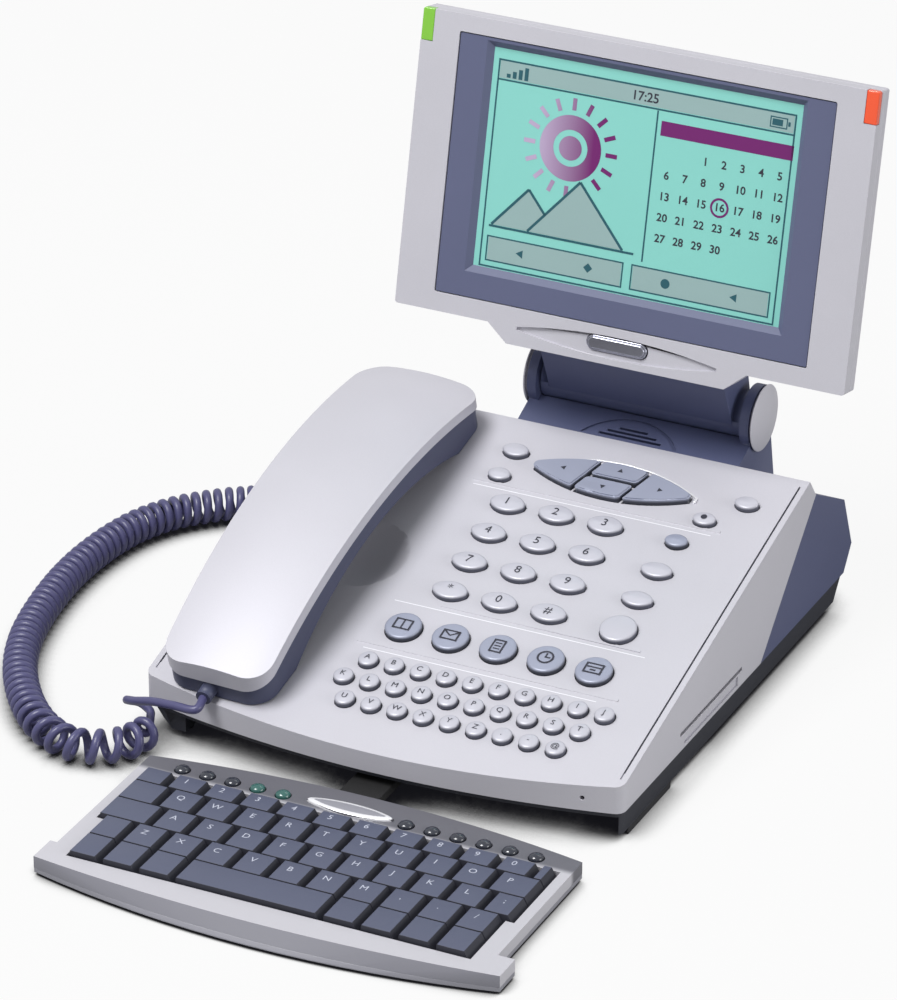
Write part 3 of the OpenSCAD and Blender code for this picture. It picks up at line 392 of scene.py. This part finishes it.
silver = moulded("silver_paint", "#C3C2CA", 0.52, grain=0.04, metallic=0.15, fleck=0.1)
dark_plastic = moulded("dark_plastic", "#41455E", 0.5, grain=0.15)
rubber = moulded("foot_rubber", "#26262A", 0.8, grain=0.3)
steel = moulded("screw_steel", "#B4B6BA", 0.3, metallic=1)
board = moulded("board_lacquer", "#2F6B3C", 0.4)
black_plastic = moulded("black_plastic", "#1D1D22", 0.55, grain=0.2)

shell_low, shell_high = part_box("base_top_shell")
side_zone, lip_zone = 0.4 * mm, 16 * mm
shell = copied("base_top_shell", "panel_shell")
round_edges(shell, 0.9, 3, lambda p, way: p.x < shell_low.x + side_zone or p.x > shell_high.x - side_zone
            or p.y < shell_low.y + lip_zone)
round_edges(shell, 0.2, 2)
even_sheen(shell)
fitted(shell, "base_top_shell", silver)
softened("base_tray", 0.6, moulded("tray_plastic", "#24262F", 0.55, grain=0.2))
softened("base_feet", 0.4, rubber)
for node, material in (("base_screws", steel), ("main_board", board), ("loudspeaker", black_plastic)):
    paint(nodes[node], material)

# Rear cover and hinge pod. One dark blue-grey moulding closes the back, rises into the pod behind
# the panel and ends in two ears that hold the hinge's steel shaft under silver caps.
pod_plastic = moulded("pod_plastic", "#4E5474", 0.48, grain=0.15)
softened("rear_cover", 0.6, pod_plastic)
softened("hinge_barrel", 0.6, pod_plastic)
softened("hinge_caps", 0.6, silver)
paint(nodes["hinge_shaft"], steel)

# Key panel. Pale keys are pressed through holes in the panel on to rubber domes. Each is a domed cap
# with an oval or round outline, printed with a plain figure or letter.
press = next(j for j in frame["joints"] if j["name"] == "digit_key_1_press")
panel_up = -Vector(press["axis"])
panel_back = Vector((0, panel_up.z, -panel_up.y))
panel_turn = Matrix((Vector((1, 0, 0)), panel_back, panel_up)).transposed().to_4x4()


def on_panel(points):
    """Points as (across, up the slope, above the row's origin square to the panel)."""
    return [panel_turn.transposed().to_3x3() @ p for p in points]


def spread_of(points):
    low = Vector(min(p[i] for p in points) for i in range(3))
    high = Vector(max(p[i] for p in points) for i in range(3))
    return low, high


key_top = spread_of(on_panel(v.co for v in nodes["digit_key_1"].data.vertices))[1].z
key_rise = 3 * mm
panel_h = key_top - key_rise


def domed_key(name, half_w, half_d, skirt=2.2 * mm, rise=key_rise, crown=0.5 * mm):
    """A cap with a pointed oval outline, or a round one, and a top that curves over to its sides."""
    bpy.ops.object.select_all(action="DESELECT")
    bpy.ops.mesh.primitive_cylinder_add(vertices=44, radius=1, depth=1)
    piece = bpy.context.object
    piece.name = name
    edge = 1.25 * mm
    tip = 1.07 * half_w
    arc = (tip * tip + half_d * half_d) / (2 * half_d)
    for v in piece.data.vertices:
        x = half_w * v.co.x
        y = math.sqrt(max(half_w * half_w - x * x, 0))
        if half_d < half_w:
            lens = half_d - arc + math.sqrt(arc * arc - x * x)
            y = min(y, (lens + y * half_d / half_w) / 2)
        v.co = (x, math.copysign(y, v.co.y), rise - edge if v.co.z > 0 else -skirt)
    only(piece)
    bpy.ops.object.mode_set(mode="EDIT")
    bpy.ops.mesh.select_mode(type="FACE")
    bpy.ops.mesh.select_all(action="DESELECT")
    mesh = bmesh.from_edit_mesh(piece.data)
    mesh.faces.ensure_lookup_table()
    for face in mesh.faces:
        face.select = face.normal.z > 0.9
    bmesh.update_edit_mesh(piece.data)
    inward, lift = 0, 0
    rings = [(edge * (1 - math.cos(a)), (edge - crown) * math.sin(a)) for a in (0.4, 0.8, 1.2, math.pi / 2)]
    rings += [(edge + half_d * 0.3, edge - crown * 0.45), (edge + half_d * 0.6, edge - crown * 0.1)]
    for far, high in rings:
        bpy.ops.mesh.extrude_region_move()
        shrink = ((half_w - far) / (half_w - inward), (half_d - far) / (half_d - inward), 1)
        bpy.ops.transform.resize(value=shrink, center_override=(0, 0, 0))
        bpy.ops.transform.translate(value=(0, 0, high - lift))
        inward, lift = far, high
    bpy.ops.object.mode_set(mode="OBJECT")
    bpy.ops.object.shade_smooth_by_angle(angle=math.radians(60))
    return piece


def seat_on_panel(piece, x, v):
    piece.data.transform(panel_turn @ Matrix.Translation((x, v, panel_h)))
    return piece


def cap_of(node):
    """Middle and half sizes of a key's cap, read from its solid above the panel."""
    low, high = spread_of([p for p in on_panel(v.co for v in nodes[node].data.vertices)
                           if p.z > panel_h + 1 * mm])
    return (low + high) / 2, (high.x - low.x) / 2, (high.y - low.y) / 2


# Heights above the panel between which the painted shade on the key sides fades out.
full_shade_to, shade_fade_to = 1.1 * mm, 2.6 * mm


def key_plastic(name, code, skirt):
    """Key plastic, pale on top, with painted shade down the sides that darkens towards the panel."""
    finish = Finish(name, 0.32, metallic=0.1)
    speck = finish.noise(2600, 1)
    height = finish.make("VectorMath", {0: finish.place, 1: panel_up}, output="Value",
                         operation="DOT_PRODUCT")
    share = finish.make("MapRange", {"Value": height, "From Min": panel_h + full_shade_to,
                                     "From Max": panel_h + shade_fade_to}, interpolation_type="SMOOTHSTEP")
    finish.set("Base Color", finish.mix(tint(skirt), tint(code), share))
    finish.set("Roughness", 0.3 + speck * 0.1)
    finish.bump(speck, 0.04)
    return finish.material


# The second colour of each is the painted shade for the lower sides of the keys.
pale_keys = key_plastic("pale_keys", "#C0C0CA", "#50525F")
grey_keys = key_plastic("grey_keys", "#9BA0B3", "#30333F")
# Dark ink for printed signs, also used as painted shade in the panel grooves.
ink_and_groove_shade = moulded("key_ink_and_groove_shade", "#2B2C38", 0.6)


def place_key(node, material):
    centre, half_w, half_d = cap_of(node)
    piece = seat_on_panel(domed_key("cap_" + node, half_w, half_d), centre.x, centre.y)
    return fitted(piece, node, material)


def lettering(text, size, turn, centre, material, name, bold=0.0):
    """A printed sign, as a flat mesh laid on the surface at a place."""
    bpy.ops.object.select_all(action="DESELECT")
    bpy.ops.object.text_add()
    sign = bpy.context.object
    sign.data.body = text
    sign.data.size = size
    sign.data.offset = bold
    sign.data.align_x = "CENTER"
    sign.data.align_y = "CENTER"
    sign.data.resolution_u = 3
    bpy.ops.object.convert(target="MESH")
    sign = bpy.context.object
    sign.data.transform(Matrix.Translation(centre) @ turn)
    sign.name = name
    paint(sign, material)
    return sign


digits = ["digit_key_%d" % n for n in range(1, 10)] + ["star_key", "digit_key_0", "hash_key"]
figures = "123456789*0#"
for node, figure in zip(digits, figures):
    place_key(node, pale_keys)
    centre = cap_of(node)[0]
    top = panel_turn @ Vector((centre.x, centre.y, panel_h + key_rise + 0.04 * mm))
    sign = lettering(figure, 5.6 * mm, panel_turn, top, ink_and_groove_shade, "figure_" + node)
    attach(sign, node)
for n in range(1, 9):
    place_key("function_key_%d" % n, grey_keys if n == 5 else pale_keys)


print_step, print_lift = 0.02, 0.03


def flat(kind, x, y, layer, w, h=None, turn=0, sides=48):
    """A flat printed shape: a bar or a disc, in millimetres from the middle of its place."""
    bpy.ops.object.select_all(action="DESELECT")
    if kind == "bar":
        bpy.ops.mesh.primitive_plane_add(size=1)
    else:
        bpy.ops.mesh.primitive_circle_add(vertices=sides, radius=0.5, fill_type="NGON")
    piece = bpy.context.object
    piece.data.transform(Matrix.Translation((x * mm, y * mm, layer * print_step * mm + print_lift * mm))
                         @ Matrix.Rotation(math.radians(turn), 4, "Z")
                         @ Matrix.Diagonal((w * mm, (h or w) * mm, 1, 1)))
    return piece


def hoop(x, y, layer, across, line, sides=48):
    """A printed ring: a disc whose middle is inset and taken out."""
    piece = flat("disc", x, y, layer, across, sides=sides)
    only(piece)
    bpy.ops.object.mode_set(mode="EDIT")
    bpy.ops.mesh.select_all(action="SELECT")
    bpy.ops.mesh.inset(thickness=line * mm)
    bpy.ops.mesh.delete(type="FACE")
    bpy.ops.object.mode_set(mode="OBJECT")
    return piece


def window(x0, y0, x1, y1, line, layer=1):
    """The four lines of a box."""
    x, y, w, h = (x0 + x1) / 2, (y0 + y1) / 2, x1 - x0, y1 - y0
    return [flat("bar", x, y0, layer, w + line, line), flat("bar", x, y1, layer, w + line, line),
            flat("bar", x0, y, layer, line, h - line), flat("bar", x1, y, layer, line, h - line)]


def stroke(x0, y0, x1, y1, line, layer=1):
    run = Vector((x1 - x0, y1 - y0))
    return flat("bar", (x0 + x1) / 2, (y0 + y1) / 2, layer, run.length, line,
                math.degrees(math.atan2(run.y, run.x)))


def joined(pieces, name):
    bpy.ops.object.select_all(action="DESELECT")
    for piece in pieces:
        piece.select_set(True)
    bpy.context.view_layer.objects.active = pieces[0]
    bpy.ops.object.join()
    pieces[0].name = name
    return pieces[0]


def sign_on_key(pieces, node):
    """Prints a sign made of flat shapes on the top of a key."""
    sign = joined(pieces, "sign_" + node)
    centre = cap_of(node)[0]
    sign.data.transform(panel_turn @ Matrix.Translation((centre.x, centre.y, panel_h + key_rise)))
    paint(sign, ink_and_groove_shade)
    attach(sign, bodies[node])


sign_on_key([flat("disc", 0, 0, 1, 2.6)], "function_key_4")
book = window(-3.4, -2.6, 3.4, 2.6, 0.7) + [flat("bar", 0, 0, 1, 0.7, 5)]
letter = window(-3.4, -2.4, 3.4, 2.4, 0.7) + [stroke(-3.2, 2.2, 0, -0.4, 0.7), stroke(0, -0.4, 3.2, 2.2, 0.7)]
page = window(-2.3, -3.3, 2.3, 3.3, 0.7) + [flat("bar", 0, y, 1, 2.8, 0.6) for y in (1.6, 0, -1.6)]
clock = [hoop(0, 0, 1, 7, 0.8), flat("bar", 0, 1, 1, 0.7, 2.4), flat("bar", 0.9, 0, 1, 2.4, 0.7)]
drawer = window(-3.5, -2.5, 3.5, 2.5, 0.7)
drawer += [flat("bar", 0, 0.6, 1, 6.4, 0.7), flat("bar", 0, -1, 1, 2.4, 0.8)]
for n, sign in enumerate((book, letter, page, clock, drawer), 1):
    place_key("memory_key_%d" % n, grey_keys)
    sign_on_key(sign, "memory_key_%d" % n)

letter_rows = ((-21.1, 33.4, "ABCDEFGHIJ"), (-26.4, 21.9, "KLMNOPQRST"), (-20.2, 10.3, "UVWXYZ.-@"))
letter_p = 11.34
letter_origin = on_panel([Vector((0, 0, 25)) * mm - middle * mm])[0]
caps, signs = [], []
for x, v, row in letter_rows:
    for k, letter in enumerate(row):
        spot = Vector((letter_origin.x + (x + k * letter_p) * mm, letter_origin.y + v * mm, 0))
        caps.append(seat_on_panel(domed_key("letter_cap", 4 * mm, 4 * mm), spot.x, spot.y))
        top = panel_turn @ Vector((spot.x, spot.y, panel_h + key_rise + 0.04 * mm))
        signs.append(lettering(letter, 3.6 * mm, panel_turn, top, ink_and_groove_shade, "letter"))

fitted(joined(caps, "letter_caps"), "letter_keys", pale_keys)
letter_signs = joined(signs, "letter_signs")
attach(letter_signs, "letter_keys")
for side, turn in (("left", 90), ("up", 0), ("down", 180), ("right", -90)):
    key = copied("nav_key_" + side, "cap_nav_" + side)
    round_edges(key, 3.0, 5, lambda p, way: abs(way.dot(panel_up)) > 0.95)
    round_edges(key, 0.7, 3, lambda p, way: abs(way.dot(panel_up)) < 0.3)
    even_sheen(key)
    fitted(key, "nav_key_" + side, grey_keys)
    sign_on_key([flat("disc", 0, 0, 1, 2.8, turn=turn, sides=3)], "nav_key_" + side)
bright = moulded("bright_trim", "#F2F2F6", 0.2, grain=0, metallic=0.3, coat=0.4)
softened("nav_trim", 0.3, bright)
fine_lines = moulded("panel_lines", "#E8E8EE", 0.4, grain=0)
lines = joined([flat("bar", (x0 + x1) / 2, v, 0, x1 - x0, 0.45) for x0, x1, v in
                ((-27, 78, 143.6), (-27, 82, 69.6), (-27, 74, 40.6))], "panel_lines")
# Painted shade in the grooves along the panel's sides: dark strips laid 0.6 mm down in them.
groove_shade = joined([flat("bar", side * 100.7, 96, 0, 0.7, 176) for side in (-1, 1)], "panel_groove_shade")
for marks, material, depth in ((lines, fine_lines, 0), (groove_shade, ink_and_groove_shade, 0.6 * mm)):
    marks.data.transform(panel_turn @ Matrix.Translation((letter_origin.x, letter_origin.y, panel_h - depth)))
    paint(marks, material)
    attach(marks, "base")
paint(nodes["hook_plunger"], pale_keys)

# Handset. A silver back shell is clipped to a dark front shell, whose two ends hold the receiver
# and the microphone and rest in shallow seats in the panel.
back = copied("handset_back_shell", "handset_back")
round_edges(back, 2.8, 5, angle=24)
even_sheen(back)
fitted(back, "handset_back_shell", silver)
softened("handset_front_shell", 1.0, dark_plastic)
for node in ("receiver_capsule", "microphone_capsule"):
    paint(nodes[node], black_plastic)

# Screen. A slim silver frame and back cover hold a dark mask and the display behind it; two lamp
# lenses are let into its upper corners and a bright button into its chin.
mask_plastic = moulded("mask_plastic", "#5A5F7C", 0.5, grain=0.12)
softened("screen_bezel", 0.8, silver)
softened("screen_back_cover", 1.2, silver)
paint(nodes["screen_mask"], mask_plastic)
softened("screen_button", 0.5, moulded("button_chrome", "#A6A7B4", 0.1, grain=0, metallic=0.95))
lens_plastic = Finish("lens_plastic", 0.18, coat=0.5)
right_side = (lens_plastic.make("SeparateXYZ", {0: lens_plastic.place}, output="X") > 0.02)
lens_plastic.set("Base Color", lens_plastic.mix(tint("#7FC23A"), tint("#F0552A"), right_side))
lens_plastic.set("Roughness", 0.16 + lens_plastic.noise(300) * 0.1)
softened("lamp_lenses", 0.5, lens_plastic.material)

# Display picture. A grey-green film with dark and purple segments behind glass: a sun over hills,
# a month of days, a strip of signs along the top and two tabs below.
display = Finish("display_film", 0.45, coat=0.2)
weave = display.noise(5000, 0)
tone = 1 + (weave - 0.5) * 0.05 + (display.noise(14, 2) - 0.5) * 0.06
film_green = display.make("VectorMath", {0: tint("#86CFC5")[:3], "Scale": tone}, operation="SCALE")
display.set("Base Color", film_green)
paint(nodes["lcd_panel"], display.material)
screen_lean = math.radians(12.8)
screen_out = Vector((0, -math.cos(screen_lean), math.sin(screen_lean)))
screen_up = Vector((0, math.sin(screen_lean), math.cos(screen_lean)))
screen_turn = Matrix((Vector((1, 0, 0)), screen_up, screen_out)).transposed().to_4x4()
to_film = screen_turn.to_3x3().transposed()
film_low, film_high = spread_of([to_film @ v.co for v in nodes["lcd_panel"].data.vertices])
film_middle = Vector(((film_low.x + film_high.x) / 2, (film_low.y + film_high.y) / 2, film_high.z))
dark_segments = moulded("dark_segments", "#1F5560", 0.5, grain=0)
purple_segments = Finish("purple_segments", 0.5)
fade = purple_segments.make("SeparateXYZ", {0: purple_segments.place}, output="X")
fade = purple_segments.make("MapRange", {"Value": fade, "From Min": film_middle.x - 44 * mm,
                                         "From Max": film_middle.x - 20 * mm})
purple_segments.set("Base Color", purple_segments.mix(tint("#B7A5C4"), tint("#6B1265"), fade))
purple_segments.set("Roughness", 0.45 + purple_segments.noise(400) * 0.1)
grey_segments = moulded("grey_segments", "#93AFAE", 0.5, grain=0)


def printed(text, x, y, size, layer=1):
    spot = Vector((x, y, layer * print_step + print_lift)) * mm
    return lettering(text, size * mm, Matrix(), spot, ink_and_groove_shade, "print", 0.1 * mm)


def shown(pieces, name, material):
    """Joins segments into one layer of the picture and lays it on the film."""
    layer = joined(pieces, name)
    layer.data.transform(screen_turn @ Matrix.Translation(film_middle))
    paint(layer, material)
    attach(layer, "screen")


dark_lines = window(-64.5, -42.5, 64.5, 42.5, 0.7)
dark_lines += window(-62, -40, -2, -30, 0.6) + window(2, -40, 62, -30, 0.6)
dark_lines += [flat("bar", 0, 34.5, 1, 129, 0.7), flat("bar", 6, 3, 1, 0.7, 62)]
dark_lines += [flat("bar", -60 + 2.6 * k, 36.4 + 0.6 * k, 1, 1.7, 1.6 + 1.2 * k) for k in range(4)]
dark_lines += window(54, 36.4, 61, 40.4, 0.5)
dark_lines += [flat("bar", 57, 38.4, 1, 4.5, 2.6), flat("bar", 62, 38.4, 1, 1, 1.8)]
dark_lines += [stroke(-61, -25, -46, -8, 1.1, 4), stroke(-46, -8, -38, -17.1, 1.1, 4),
               stroke(-45, -25, -24, -1, 1.1, 4), stroke(-24, -1, -3, -25, 1.1, 4),
               flat("bar", -30, -25.6, 4, 64, 0.9)]
dark_lines += [printed("17:25", 0, 38.3, 5.4)]
dark_lines += [printed(str(d), 12.5 + 8 * ((d + 1) % 7), 17 - 8.6 * ((d + 1) // 7), 4.6)
               for d in range(1, 31)]
dark_lines += [flat("disc", x, -35, 1, 4, sides=sides, turn=turn) for x, sides, turn in
               ((-47, 3, 90), (-17, 4, 0), (17, 24, 0), (47, 3, -30))]
shown(dark_lines, "picture_lines", dark_segments)
sun = [hoop(-30, 12, 1, 27, 6), flat("disc", -30, 12, 1, 10), flat("bar", 36.5, 27.2, 1, 57, 6)]
sun += [flat("bar", -30 + 18 * math.cos(a), 12 + 18 * math.sin(a), 1, 5, 1.8, math.degrees(a))
        for a in (math.pi / 8 * k for k in range(16))]
sun += [hoop(36.5, -0.2, 2, 8, 0.9)]
shown(sun, "picture_colour", purple_segments.material)
slopes = [flat("disc", -46, -19.3, 2, 34.6, 22.7, sides=3), flat("disc", -24, -17, 3, 48.5, 32, sides=3),
          flat("bar", 0, 38.6, 0, 128, 7), flat("bar", -32, -35, 0, 59, 9.4),
          flat("bar", 32, -35, 0, 59, 9.4)]
shown(slopes, "picture_shade", grey_segments)

# Keyboard. A thin silver case in two halves on a black slide arm, with slate typing keys set in one
# well, a row of round buttons along the back and a bowed lip in front.
case_grey = moulded("case_grey", "#8E8E97", 0.45, grain=0.1)
slate = moulded("slate_keys", "#50556A", 0.5, grain=0.15)
top_paint = Finish("case_top_paint", 0.42, metallic=0.12)
speck = top_paint.noise(2600, 1)
strip_front, strip_back = -42, -38
back_strip = top_paint.make("MapRange", {
    "Value": top_paint.make("SeparateXYZ", {0: top_paint.place}, output="Y"),
    "From Min": (strip_front - middle.y) * mm, "From Max": (strip_back - middle.y) * mm},
    interpolation_type="SMOOTHSTEP")
top_paint.set("Base Color", top_paint.mix(tint("#C0BFC6"), tint("#66666E"), back_strip))
top_paint.set("Roughness", 0.4 + speck * 0.12)
top_paint.bump(speck, 0.05)
row_edges = (-42, -52.6, -67, -81.4, -96, -111.4)
# Painted shade: a darker grey for the forward-facing faces of the keyboard's front lip.
lip_front_shade = moulded("lip_front_shade", "#808089", 0.5, grain=0.1)
top_case = copied("keyboard_top_case", "moulded_keyboard_top_case")
round_edges(top_case, 0.5)
even_sheen(top_case)
fitted(top_case, "keyboard_top_case", top_paint.material, lip_front_shade)
# Forward-facing faces of the lip take the painted shade.
for face in top_case.data.polygons:
    on_lip = face.normal.y < -0.6 and face.center.y < (row_edges[-1] - middle.y) * mm
    face.material_index = 1 if on_lip else 0
softened("keyboard_bottom_case", 0.5, case_grey)
softened("slide_arm", 0.4, moulded("arm_black", "#0C0C0E", 0.7))
# Painted shade: a near-black material for the sides of the typing keys, whose tops keep the slate colour.
flank = moulded("key_flank_shade", "#23242F", 0.6, grain=0.15)
cap_top = 10


def typing_cap(x0, x1, y0, y1):
    """One low cap: a block whose top leans back from its right flank, with small rounded edges."""
    bpy.ops.object.select_all(action="DESELECT")
    bpy.ops.mesh.primitive_cube_add(size=1)
    cap = bpy.context.object
    for v in cap.data.vertices:
        left, front, top = v.co.x < 0, v.co.y < 0, v.co.z > 0
        x = x0 + 0.5 * top if left else x1 - 2.5 * top
        y = y0 + 0.25 * top if front else y1 - 0.25 * top
        v.co = (Vector((x, y, cap_top if top else cap_foot)) - middle) * mm
    paint(cap, slate, flank)
    # Tops take the slate; the sides take the painted shade.
    for face in cap.data.polygons:
        face.material_index = 0 if face.normal.z > 0.9 else 1
    round_edges(cap, 0.25, 2, lambda p, way: p.z > (cap_top - 0.1) * mm)
    bpy.ops.object.shade_smooth_by_angle(angle=math.radians(40))
    return cap


row_ends = ((-80, 96), (-80, 96), (-80, 96), (-76.5, 92.5), (-76.5, 92.5))
row_leads = (13.6, 17.6, 22.4, 14, 14)
row_gaps = (11, 10, 10, 10, 7)
cap_p = 15.6
cap_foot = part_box("typing_keys")[0].z / mm
bar_low, bar_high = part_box("space_bar")
caps = []
for i, (left, right) in enumerate(row_ends):
    gaps = [left + row_leads[i] + cap_p * (j + (3 if i == 4 and j > 2 else 0)) for j in range(row_gaps[i])]
    for x0, x1 in zip([left - 0.4] + gaps, gaps + [right + 0.4]):
        cap = typing_cap(x0 + 0.4, x1 - 0.4, row_edges[i + 1] + 0.1, row_edges[i] - 0.1)
        if i == 4 and x0 < (bar_low.x + bar_high.x) / 2 / mm + middle.x < x1:
            cap.name = "wide_cap"
            fitted(cap, "space_bar", slate, flank)
        else:
            caps.append(cap)
fitted(joined(caps, "typing_caps"), "typing_keys", slate, flank)
dark_gloss = Finish("dark_buttons", 0.2, coat=0.6)
across = dark_gloss.make("SeparateXYZ", {0: dark_gloss.place}, output="X")
green_from, green_to = -40, -19
two_green = (across > (green_from - middle.x) * mm) * (across < (green_to - middle.x) * mm)
dark_gloss.set("Base Color", dark_gloss.mix(tint("#262A36"), tint("#2E5F5A"), two_green))
dark_gloss.set("Roughness", 0.16 + dark_gloss.noise(900) * 0.1)
softened("strip_buttons", 0.9, dark_gloss.material, steps=5)
lens_spot = Vector((4.4, -34.9, 8))
for name, half_w, half_d, rise, material in (("strip_lens_rim", 18.5, 4.4, 1.3, bright),
                                             ("strip_lens", 17.4, 3.7, 1.36, case_grey)):
    lens = domed_key(name, half_w * mm, half_d * mm, skirt=0.3 * mm, rise=rise * mm, crown=0.2 * mm)
    lens.data.transform(Matrix.Translation((lens_spot - middle) * mm))
    paint(lens, material)
    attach(lens, "keyboard")
pale_ink = moulded("pale_ink", "#B9BDCC", 0.6)
signs = []
for i, row in enumerate(("1234567890", "QWERTYUIOP", "ASDFGHJKL;", "ZXCVBNM,./")):
    for k, letter in enumerate(row):
        spot = Vector((row_ends[i][0] + row_leads[i] + cap_p * k + 5.6,
                       row_edges[i] * 0.62 + row_edges[i + 1] * 0.38, cap_top + 0.04)) - middle
        signs.append(lettering(letter, 4.4 * mm, Matrix(), spot * mm, pale_ink, "typing_sign"))
typing_signs = joined(signs, "typing_signs")
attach(typing_signs, "typing_keys")
